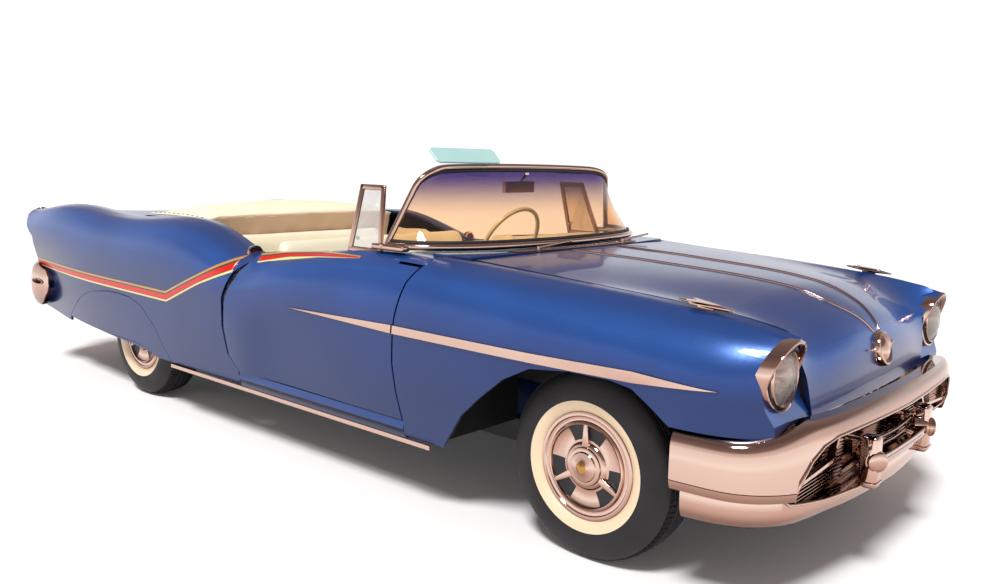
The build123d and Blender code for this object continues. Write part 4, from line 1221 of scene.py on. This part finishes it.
# Hood mouldings either side of its raised middle, and a plain round boss where they meet on the nose
hoodLook = {"plan": [(0.175, 0.600), (0.160, 0.200), (0.145, -0.200), (0.118, -0.500), (0.097, -0.590)],
            "nose": [(0.086, 0.915), (0.066, 0.895), (0.046, 0.868), (0.030, 0.838)], "radius": 0.0055,
            "boss": [(-0.024, 0.0), (-0.024, 0.066), (0.010, 0.066), (0.018, 0.062), (0.020, 0.056), (0.016, 0.051),
                     (0.012, 0.047), (0.020, 0.036), (0.026, 0.020), (0.028, 0.0)]}


def makeHoodTrim():
    hood = surfaceOf("hood")
    bm = bmesh.new()
    for side in (1, -1):
        spots = []
        for x, y, _ in smoothLine([(x, y, 0) for x, y in hoodLook["plan"]], 10):
            spots.append(land(hood, (side * x, behindFront(y), 1.4), (0, 0, -1), 0.001))
        for x, _, z in smoothLine([(x, 0, z) for x, z in hoodLook["nose"]], 4):
            spots.append(land(hood, (side * x, behindFront(-1.2), z), (0, 1, 0), 0.001))
        rodInto(bm, [spot for spot in spots if spot], hoodLook["radius"], 10)
    at = land(hood, (0, behindFront(-1.2), 0.775), (0, 1, 0), 0.0)
    latheInto(bm, hoodLook["boss"], at, (0, -1, 0.25), 48)
    for side in (1, -1):  # swept bar behind the boss
        tip = land(hood, (side * 0.150, behindFront(-1.2), 0.787), (0, 1, 0), 0.006)
        rodInto(bm, [at + Vector((0, -0.004, 0)), (at + tip) / 2 + Vector((0, -0.006, 0)), tip],
                [0.007, 0.006, 0.0015], 10)
    return placePiece(makePiece("hoodMouldings", bm, ["chrome"], 40), "hood", "chrome_trim", "hood_trim")


makeHoodTrim()


# Dart on each fender's crown: a turned body with two tiers of swept wings
dartLook = {"x": 0.764, "y": -0.500, "lift": 0.016,
            "body": [(0.0, 0.0), (0.0, 0.003), (0.070, 0.0095), (0.100, 0.0095), (0.200, 0.004), (0.205, 0.0)],
            "wing": [(0, 0), (0.036, 0.128), (0.030, 0.148), (0, 0.116), (-0.030, 0.148), (-0.036, 0.128)],
            "upper": [(0, 0.050), (0.026, 0.148), (0.020, 0.164), (0, 0.136), (-0.020, 0.164), (-0.026, 0.148)]}


def makeDarts():
    bm = bmesh.new()
    for label, side in (("left", 1), ("right", -1)):
        fender = surfaceOf("front_fender_" + label)
        nose = land(fender, (side * dartLook["x"], behindFront(dartLook["y"]), 1.4), (0, 0, -1), 0.0)
        tail = land(fender, (side * dartLook["x"], behindFront(dartLook["y"] + 0.2), 1.4), (0, 0, -1), 0.0)
        start = nose + Vector((0, 0, dartLook["lift"]))
        along = (tail - nose).normalized()
        latheInto(bm, dartLook["body"], start, along, 20)
        tilt = Matrix.Translation(start) @ along.to_track_quat("Y", "Z").to_matrix().to_4x4()
        for outline, z in ((dartLook["wing"], 0.000), (dartLook["upper"], 0.007)):
            faces = prismInto(bm, [(x, y) for x, y in outline], "Z", z, z + 0.0035)
            bmesh.ops.transform(bm, matrix=tilt, verts=list({vert for face in faces for vert in face.verts}))
        foot = Matrix.Translation((nose + tail) / 2 + Vector((0, 0, 0.008)))
        blockInto(bm, (0.010, 0.060, 0.022), foot, 0.003, 2)
    return placePiece(makePiece("fenderDarts", bm, ["chrome"], 35), "body", "chrome_trim", "fender_ornaments")


makeDarts()
print("hood mouldings and darts made")


# Vent windows: a polished frame round a fixed pane, black rubber inside it
paneLook = {"low": (0.826, 1.124, 1.350, 1.014), "high": (0.742, 1.197, 1.360, 1.312), "width": 0.024,
            "thick": 0.015, "pane": 0.005}


def makeVent(name, side, body):
    (xl, fl, rl, zl), (xh, fh, rh, zh) = paneLook["low"], paneLook["high"]
    corners = [Vector((side * x, behindFront(y), z)) for x, y, z in
               ((xl, fl, zl), (xl, rl, zl), (xh, rh, zh), (xh, fh, zh))]
    middle = sum(corners, Vector()) / 4
    out = (corners[1] - corners[0]).cross(corners[3] - corners[0]).normalized()
    bm = bmesh.new()
    for start, end in zip(corners, corners[1:] + corners[:1]):
        along = (end - start).normalized()
        inward = out.cross(along)
        if inward.dot(middle - start) < 0:
            inward = -inward
        half = paneLook["width"] / 2
        place = Matrix((along, inward.cross(along), inward)).transposed().to_4x4()
        place.translation = (start + end) / 2 + inward * half
        blockInto(bm, ((end - start).length - 0.001, paneLook["thick"], paneLook["width"]), place, 0.004, 3, 0)
    inner = [corner + (middle - corner) * 0.10 for corner in corners]
    faces = skinInto(bm, [[inner[0], inner[1]], [inner[3], inner[2]]], finish=1)
    bmesh.ops.solidify(bm, geom=faces, thickness=paneLook["pane"])
    piece = makePiece(name, bm, ["brightTrim", "glass"], 40)
    return placePiece(piece, body, "clear_glass", "vent_window_" + body.split("_")[1])


for label, side in (("left", 1), ("right", -1)):
    makeVent("ventWindow_" + label, side, "door_" + label)
print("vent windows made")


# Rear bumper: wrap-round bar whose shield-shaped ends hold the exhaust slots
rearLook = {
    "endY": 4.656, "plan": [(0, 0.0), (0.400, 0.004), (0.700, 0.018), (0.858, 0.058), (0.936, 0.140), (0.956, 0.270),
                            (0.948, 0.440)],
    "section": [(0.3980, 0.090), (0.3900, 0.050), (0.4000, 0.034), (0.4300, 0.018), (0.4700, 0.006), (0.5200, 0.001),
                (0.5600, 0.000), (0.6100, 0.004), (0.6400, 0.012), (0.6650, 0.026), (0.6780, 0.042), (0.6700, 0.090)],
    "shield": [(-0.440, 0.540), (-0.430, 0.600), (-0.380, 0.640), (-0.250, 0.664), (-0.188, 0.690), (0.060, 0.700),
               (0.060, 0.380), (-0.200, 0.380), (-0.330, 0.430), (-0.415, 0.500)],
    "slot": (-0.290, 0.562, 0.150, 0.034),
}


def makeRearBumper():
    end = behindFront(rearLook["endY"])
    bm = bmesh.new()
    skinInto(bm, barRows(rearLook["plan"], rearLook["section"], end, -1))
    bm.normal_update()
    if sum(face.normal.y * face.calc_area() for face in bm.faces) < 0:
        bmesh.ops.reverse_faces(bm, faces=bm.faces)
    piece = makePiece("rearBumper", bm, ["chrome"], 30, recalc=False)
    wallPiece(piece, 0.005)
    outline = [(end + y, z) for y, z in rearLook["shield"]]
    cutPiece(piece, toolFrom([outline], "X", -1.2, 1.2), "INTERSECT")
    y, z, length, height = rearLook["slot"]
    slot = [(end + y + length / 2 * math.cos(a) * 1.0, z + height / 2 * math.sin(a)) for a in
            (math.tau * i / 24 for i in range(24))]
    for side in (1, -1):
        cutPiece(piece, toolFrom([slot], "X", *sorted((side * 0.85, side * 1.1))), "DIFFERENCE")
    piece.data.set_sharp_from_angle(angle=math.radians(32))
    placePiece(piece, "body", "chrome_trim", "rear_bumper")
    bm = bmesh.new()
    for side in (1, -1):
        well = Matrix.Translation((side * 0.925, end + y, z))
        blockInto(bm, (0.012, length + 0.03, height + 0.03), well, 0.004, 2, 1)
        lip = [Vector((side * 0.9565, a, b)) for a, b in slot]
        rodInto(bm, lip, 0.004, 8, 0, closed=True)
    for x in (-0.42, 0.42):
        post = Matrix.Translation((x, end - 0.002, 0.545))
        blockInto(bm, (0.070, 0.030, 0.235), post, 0.013, 4)
    return placePiece(makePiece("rearBumperDetails", bm, ["chrome", "blackPaint"], 30), "body", "chrome_trim")


makeRearBumper()
print("rear bumper made")


# Fin rims laid on the tail's edge, and round red lamps in bright rings under them
tailLook = {"x": 0.800, "rim": [(0.752, 1.000), (0.775, 1.022), (0.800, 1.026), (0.825, 1.016), (0.850, 0.985),
                                (0.872, 0.930), (0.880, 0.870), (0.868, 0.800)],
            "lampZ": 0.930, "ring": [(-0.010, 0.034), (-0.010, 0.044), (0.010, 0.044), (0.016, 0.040), (0.014, 0.036),
                                     (0.004, 0.034)],
            "lens": [(-0.008, 0.0), (-0.008, 0.035), (0.008, 0.035), (0.018, 0.028), (0.026, 0.014), (0.028, 0.0)]}


def makeTail():
    bm = bmesh.new()
    for label, side in (("left", 1), ("right", -1)):
        quarter = surfaceOf("rear_quarter_" + label)
        spots = [land(quarter, (side * x, 3.4, z), (0, -1, 0), 0.001) for x, z in tailLook["rim"]]
        spots = [spot for spot in spots if spot and spot.y > 2.6]
        if len(spots) > 2:
            rodInto(bm, smoothLine(spots, 4), 0.008, 10, 0)
        seat = land(quarter, (side * tailLook["x"], 3.4, tailLook["lampZ"]), (0, -1, 0), 0.0)
        if seat:
            latheInto(bm, tailLook["ring"], seat, (0, 1, 0), 32, 0)
            latheInto(bm, tailLook["lens"], seat, (0, 1, 0), 32, 1)
    return placePiece(makePiece("tailLampsAndRims", bm, ["chrome", "redGlass"], 35), "body", "red_lamp", "tail_lamps")


makeTail()
print("tail made")


# Windshield: wrapped laminated glass in a polished frame, drawn from plan curves at its foot and its head
shieldLook = {
    "foot": [(0, 0.690), (0.300, 0.706), (0.560, 0.757), (0.740, 0.850), (0.832, 0.975), (0.842, 1.090)],
    "head": [(0, 1.022), (0.225, 1.021), (0.420, 1.018), (0.560, 1.011), (0.655, 1.000), (0.702, 1.008)],
    "footZ": 1.050, "headZ": 1.385, "low": 0.035, "high": 1.055, "round": 0.58, "shoulder": 0.74,
    "frame": 0.0145, "seal": 0.0085, "sealInset": 0.022, "glass": 0.0055,
}


def shieldPoint(share, rise, back=0.0):
    lines = [smoothLine([(x, y, 0) for x, y in bothSides(shieldLook[key])], 6) for key in ("foot", "head")]
    at = (share + 1) / 2 * (len(lines[0]) - 1)
    i = min(int(at), len(lines[0]) - 2)
    foot, head = (line[i].lerp(line[i + 1], at - i) for line in lines)
    spot = foot.lerp(head, rise)
    z = shieldLook["footZ"] + (shieldLook["headZ"] - shieldLook["footZ"]) * rise
    away = Vector((-share, 1.0 - 0.6 * abs(share), 0)).normalized() * back
    return Vector((spot.x, spot.y + carSizes["frontAxleY"], z)) + away


def shieldTop(share, inset=0.0):
    high, shoulder, start = shieldLook["high"] - inset * 2.4, shieldLook["shoulder"], shieldLook["round"]
    over = max(0.0, (abs(share) - start) / (1 - start))
    crown = high - 0.060 * share * share
    return shoulder + (crown - shoulder) * math.sqrt(max(0.0, 1 - over * over))


def shieldLoop(inset, back):
    wide = 1 - inset
    low = shieldLook["low"] + inset * 2.4
    spots = [shieldPoint(wide * (i / 36 - 1), low, back) for i in range(73)]
    spots += [shieldPoint(wide, low + (shieldTop(1.0, inset) - low) * i / 9, back) for i in range(1, 9)]
    for i in range(97):
        angle = math.pi * i / 96
        share = math.copysign(min(1.0, abs(math.cos(angle)) ** 0.8), math.cos(angle))
        spots.append(shieldPoint(share * wide, shieldTop(share, inset), back))
    spots += [shieldPoint(-wide, low + (shieldTop(1.0, inset) - low) * i / 9, back) for i in range(8, 0, -1)]
    return spots


def makeWindshield():
    bm = bmesh.new()
    rodInto(bm, shieldLoop(0.0, 0.010), shieldLook["frame"], 14, 0, closed=True)
    rodInto(bm, shieldLoop(0.006, -0.002), 0.004, 8, 0, closed=True)
    rodInto(bm, shieldLoop(shieldLook["sealInset"], 0.010), shieldLook["seal"], 10, 1, closed=True)
    for side in (1, -1):  # polished foot where the pillar meets the door and cowl
        foot = shieldPoint(side * 0.93, 0.0, 0.0)
        blockInto(bm, (0.050, 0.200, 0.026), Matrix.Translation(foot + Vector((side * -0.004, 0.0, 0.003))), 0.010, 4, 0)
        latheInto(bm, [(0.0, 0.0), (0.0, 0.011), (0.005, 0.011), (0.008, 0.006), (0.008, 0.0)],
                  foot + Vector((side * 0.016, 0.030, 0.012)), (side, 0, 0.3), 20, 0)
    placePiece(makePiece("windshieldFrame", bm, ["brightTrim", "seal"], 50), "body", "chrome_trim",
               "windshield_frame")
    rows = []
    for j in range(17):
        row = []
        for i in range(81):
            share = math.sin((i / 40 - 1) * math.pi / 2)
            low, high = shieldLook["low"] + 0.02, shieldTop(share, 0.012)
            row.append(shieldPoint(share * 0.985, low + (high - low) * j / 16, 0.010))
        rows.append(row)
    bm = bmesh.new()
    skinInto(bm, rows)
    piece = makePiece("windshieldGlass", bm, ["glass"], 180)
    if piece.data.polygons[len(piece.data.polygons) // 2].normal.y > 0:
        piece.data.flip_normals()
    wallPiece(piece, shieldLook["glass"])
    return placePiece(piece, "body", "clear_glass", "windshield_glass")


makeWindshield()
print("windshield made")


# Cabin sides behind the doors: a trimmed board, a bright strip and an armrest beside the rear seat
sideLook = {"x": 0.706, "board": [(1.990, 0.440), (2.742, 0.440), (2.742, 0.960), (2.420, 0.968), (2.250, 0.905),
                                  (2.060, 0.865), (1.990, 0.880)], "split": 0.640}


def makeCabinSides():
    bm = bmesh.new()
    for side in (1, -1):
        outline = [(behindFront(y), z) for y, z in sideLook["board"]]
        low, high = sorted((side * sideLook["x"], side * (sideLook["x"] + 0.008)))
        prismInto(bm, outline, "X", low, high, 0)
        x = side * (sideLook["x"] - 0.004)
        start, end = behindFront(2.01), behindFront(2.73)
        panel = Matrix.Translation((x, (start + end) / 2, 0.545))
        blockInto(bm, (0.008, end - start, 0.170), panel, 0.003, 2, 1)
        strip = Matrix.Translation((x - side * 0.002, (start + end) / 2, sideLook["split"]))
        blockInto(bm, (0.008, end - start, 0.012), strip, 0.003, 2, 2)
    finishes = ["creamVinyl", "turquoiseVinyl", "brightTrim"]
    placePiece(makePiece("cabinSideBoards", bm, finishes, 35), "body", "cabin_vinyl")
    for label, side in (("left", 1), ("right", -1)):
        bm = bmesh.new()
        place = Matrix.Translation((side * 0.636, behindFront(2.470), 0.560))
        blockInto(bm, (0.128, 0.480, 0.170), place, 0.034, 6, 0)
        piece = makePiece("rearArmrest_" + label, bm, ["creamVinyl"], 60)
        placePiece(piece, "body", "cabin_vinyl")


makeCabinSides()


# Door cards: stitched boards with a bright strip, pull, window winder and door handle; they ride with the doors
cardLook = {"x": 0.8095, "y": (1.160, 1.940), "z": (0.420, 0.900)}


def makeDoorCards():
    for label, side in (("left", 1), ("right", -1)):
        bm = bmesh.new()
        x = side * cardLook["x"]
        (yLow, yHigh), (zLow, zHigh) = cardLook["y"], cardLook["z"]
        middle, length = behindFront((yLow + yHigh) / 2), yHigh - yLow
        blockInto(bm, (0.007, length, 0.210), Matrix.Translation((x, middle, 0.540)), 0.003, 2, 1)
        blockInto(bm, (0.007, length, 0.200), Matrix.Translation((x, middle, 0.760)), 0.003, 2, 0)
        for z in (0.652, 0.866):
            blockInto(bm, (0.010, length, 0.010), Matrix.Translation((x - side * 0.002, middle, z)), 0.003, 2, 2)
        pull = Matrix.Translation((x - side * 0.026, behindFront(1.62), 0.690))
        blockInto(bm, (0.050, 0.300, 0.050), pull, 0.020, 5, 0)
        for y, reach in ((1.34, 0.075), (1.78, 0.055)):  # window winder and door handle
            hub = Vector((x - side * 0.004, behindFront(y), 0.600))
            latheInto(bm, [(0.0, 0.0), (0.0, 0.022), (0.006, 0.020), (0.014, 0.012), (0.014, 0.0)], hub, (-side, 0, 0),
                      24, 2)
            arm = Matrix.Translation(hub + Vector((-side * 0.016, reach / 2, 0.004)))
            blockInto(bm, (0.008, reach, 0.013), arm, 0.003, 3, 2)
            latheInto(bm, [(0.0, 0.0), (0.0, 0.010), (0.016, 0.011), (0.022, 0.0)],
                      hub + Vector((-side * 0.018, reach, 0.004)), (-side, 0, 0), 20, 3)
        piece = makePiece("doorCard_" + label, bm, ["creamVinyl", "turquoiseVinyl", "brightTrim", "creamPlastic"], 35)
        placePiece(piece, "door_" + label, "cabin_vinyl")


makeDoorCards()
print("cabin sides and door cards made")


# Rear end: blank plate in a bright frame, reversing lamps and lid handle
rearEndLook = {"plate": (0.305, 0.155), "plateZ": 0.765, "lampX": 0.46, "lampZ": 0.745}


def makeRearEnd():
    tail = surfaceOf("rear_panels")
    bm = bmesh.new()
    seat = land(tail, (0, 3.6, rearEndLook["plateZ"]), (0, -1, 0), 0.0)
    width, height = rearEndLook["plate"]
    blockInto(bm, (width, 0.004, height), Matrix.Translation(seat + Vector((0, 0.012, 0))), 0.001, 1, 2)
    for x, z, size in ((0, height / 2, (width + 0.02, 0.014, 0.010)), (0, -height / 2, (width + 0.02, 0.014, 0.010)),
                       (width / 2, 0, (0.010, 0.014, height)), (-width / 2, 0, (0.010, 0.014, height))):
        blockInto(bm, size, Matrix.Translation(seat + Vector((x, 0.010, z))), 0.003, 3, 0)
    for x in (-0.5 * width - 0.02, 0.5 * width + 0.02):
        blockInto(bm, (0.012, 0.020, 0.05), Matrix.Translation(seat + Vector((x, 0.008, 0))), 0.003, 2, 0)
    for side in (1, -1):
        at = land(tail, (side * rearEndLook["lampX"], 3.6, rearEndLook["lampZ"]), (0, -1, 0), 0.0)
        ring = [(-0.004, 0.032), (-0.004, 0.041), (0.010, 0.041), (0.015, 0.037), (0.010, 0.032)]
        latheInto(bm, ring, at, (0, 1, 0), 32, 0)
        latheInto(bm, [(-0.002, 0.0), (-0.002, 0.033), (0.008, 0.033), (0.016, 0.024), (0.019, 0.0)], at, (0, 1, 0), 32,
                  1)
    return placePiece(makePiece("plateAndRearLamps", bm, ["chrome", "lampGlass", "creamPlastic"], 35), "body",
                      "chrome_trim")


makeRearEnd()


def makeLidTrim():
    lid = surfaceOf("trunk_lid")
    bm = bmesh.new()
    seat = land(lid, (0, 3.6, 0.885), (0, -1, 0), 0.0)
    latheInto(bm, [(-0.004, 0.0), (-0.004, 0.020), (0.006, 0.019), (0.012, 0.013), (0.012, 0.0)], seat, (0, 1, 0.2), 28)
    for side in (1, -1):
        wing = land(lid, (side * 0.060, 3.6, 0.885), (0, -1, 0), 0.004)
        tip = land(lid, (side * 0.150, 3.6, 0.887), (0, -1, 0), 0.002)
        rodInto(bm, [seat + Vector((0, 0.004, 0)), wing, tip], [0.009, 0.007, 0.002], 12)
    return placePiece(makePiece("lidHandle", bm, ["chrome"], 40), "trunk_lid", "chrome_trim")


makeLidTrim()
print("rear end made")


# Painted shoulders on the body that close the top of each hinge pocket between the fender and the door
shoulderLook = {"y": (0.804, 0.993), "wall": 0.005, "profile": [
    (0.735, 1.024, 1.028), (0.775, 1.024, 1.034), (0.800, 1.023, 1.036), (0.820, 1.022, 1.036), (0.835, 1.021, 1.032),
    (0.848, 1.016, 1.026), (0.860, 1.010, 1.018), (0.872, 1.002, 1.009)]}


def makeShoulders():
    bm = bmesh.new()
    start, end = shoulderLook["y"]
    for side in (1, -1):
        skinInto(bm, [[Vector((side * x, behindFront(start + (end - start) * j / 10), front + (back - front) * j / 10))
                       for x, front, back in shoulderLook["profile"]] for j in range(11)])
    bmesh.ops.recalc_face_normals(bm, faces=bm.faces)
    for face in bm.faces:
        if face.normal.z < 0:
            face.normal_flip()
    piece = makePiece("hingeShoulders", bm, ["paint"], 40, recalc=False)
    wallPiece(piece, shoulderLook["wall"])
    return placePiece(piece, "body", "body_paint")


makeShoulders()
print("shoulders made")


# Camera matched to the photograph
cameraSet = {"place": (-3.4712, -1.8297 - 1.907, 1.4455), "yaw": 48.776, "pitch": -5.943, "roll": 1.378,
             "lens": 32.86, "sensor": 36.0, "shiftX": 0.0077, "shiftY": -0.0394}


def makeCamera():
    yaw, pitch, roll = (math.radians(cameraSet[key]) for key in ("yaw", "pitch", "roll"))
    forward = Vector((math.cos(pitch) * math.sin(yaw), math.cos(pitch) * math.cos(yaw), math.sin(pitch)))
    right = forward.cross(Vector((0, 0, 1))).normalized()
    up = right.cross(forward)
    rolledRight = right * math.cos(roll) + up * math.sin(roll)
    rolledUp = up * math.cos(roll) - right * math.sin(roll)
    data = bpy.data.cameras.new("camera")
    data.lens, data.sensor_width = cameraSet["lens"], cameraSet["sensor"]
    data.shift_x, data.shift_y = cameraSet["shiftX"], cameraSet["shiftY"]
    camera = bpy.data.objects.new("camera", data)
    turn = Matrix((rolledRight, rolledUp, -forward)).transposed().to_4x4()
    camera.matrix_world = Matrix.Translation(cameraSet["place"]) @ turn
    bpy.context.scene.collection.objects.link(camera)
    bpy.context.scene.camera = camera


studio = {"floorColour": "#ffffff", "stops": [(0.0, "#b9a798"), (0.50, "#ffffff"), (0.605, "#ffffff"),
                                              (0.69, "#a3948f"), (1.0, "#8d7f7c")],
          "skyStrength": 1.08, "keyEnergy": 3.05, "keyAngle": 0.24, "keyFrom": (-0.50, -0.18, 0.847)}


# Soft studio: a world that is white to well above the horizon and greyer overhead, one broad key lamp and a floor
def makeStudio():
    world = bpy.data.worlds.new("studio")
    world.use_nodes = True
    tree = world.node_tree
    tree.nodes.clear()
    coords = addNode(tree, "ShaderNodeTexCoord").outputs["Generated"]
    height = addNode(tree, "ShaderNodeSeparateXYZ", {"Vector": coords}).outputs["Z"]
    share = addNode(tree, "ShaderNodeMapRange", {"Value": height, "From Min": -1.0, "From Max": 1.0}).outputs["Result"]
    ramp = addNode(tree, "ShaderNodeValToRGB", {"Fac": share})
    elements = ramp.color_ramp.elements
    while len(elements) < len(studio["stops"]):
        elements.new(0.5)
    for element, (place, colour) in zip(elements, studio["stops"]):
        element.position, element.color = place, linear(colour)
    lit = addNode(tree, "ShaderNodeBackground", {"Color": ramp.outputs["Color"], "Strength": studio["skyStrength"]})
    addNode(tree, "ShaderNodeOutputWorld", {"Surface": lit.outputs[0]})
    bpy.context.scene.world = world
    bm = bmesh.new()
    bmesh.ops.create_grid(bm, x_segments=1, y_segments=1, size=120.0)
    looks["floor"] = makePlain("paintedFloor", studio["floorColour"], "#ffffff", 0.85, relief=0.0)
    floor = makePiece("floor", bm, ["floor"])
    data = bpy.data.lights.new("key", "SUN")
    data.energy, data.angle = studio["keyEnergy"], studio["keyAngle"]
    key = bpy.data.objects.new("key", data)
    key.rotation_euler = Vector(studio["keyFrom"]).to_track_quat("Z", "Y").to_euler()
    bpy.context.scene.collection.objects.link(key)
    bpy.context.scene.view_settings.view_transform = "Standard"


makeCamera()
makeStudio()
print("camera and studio set")
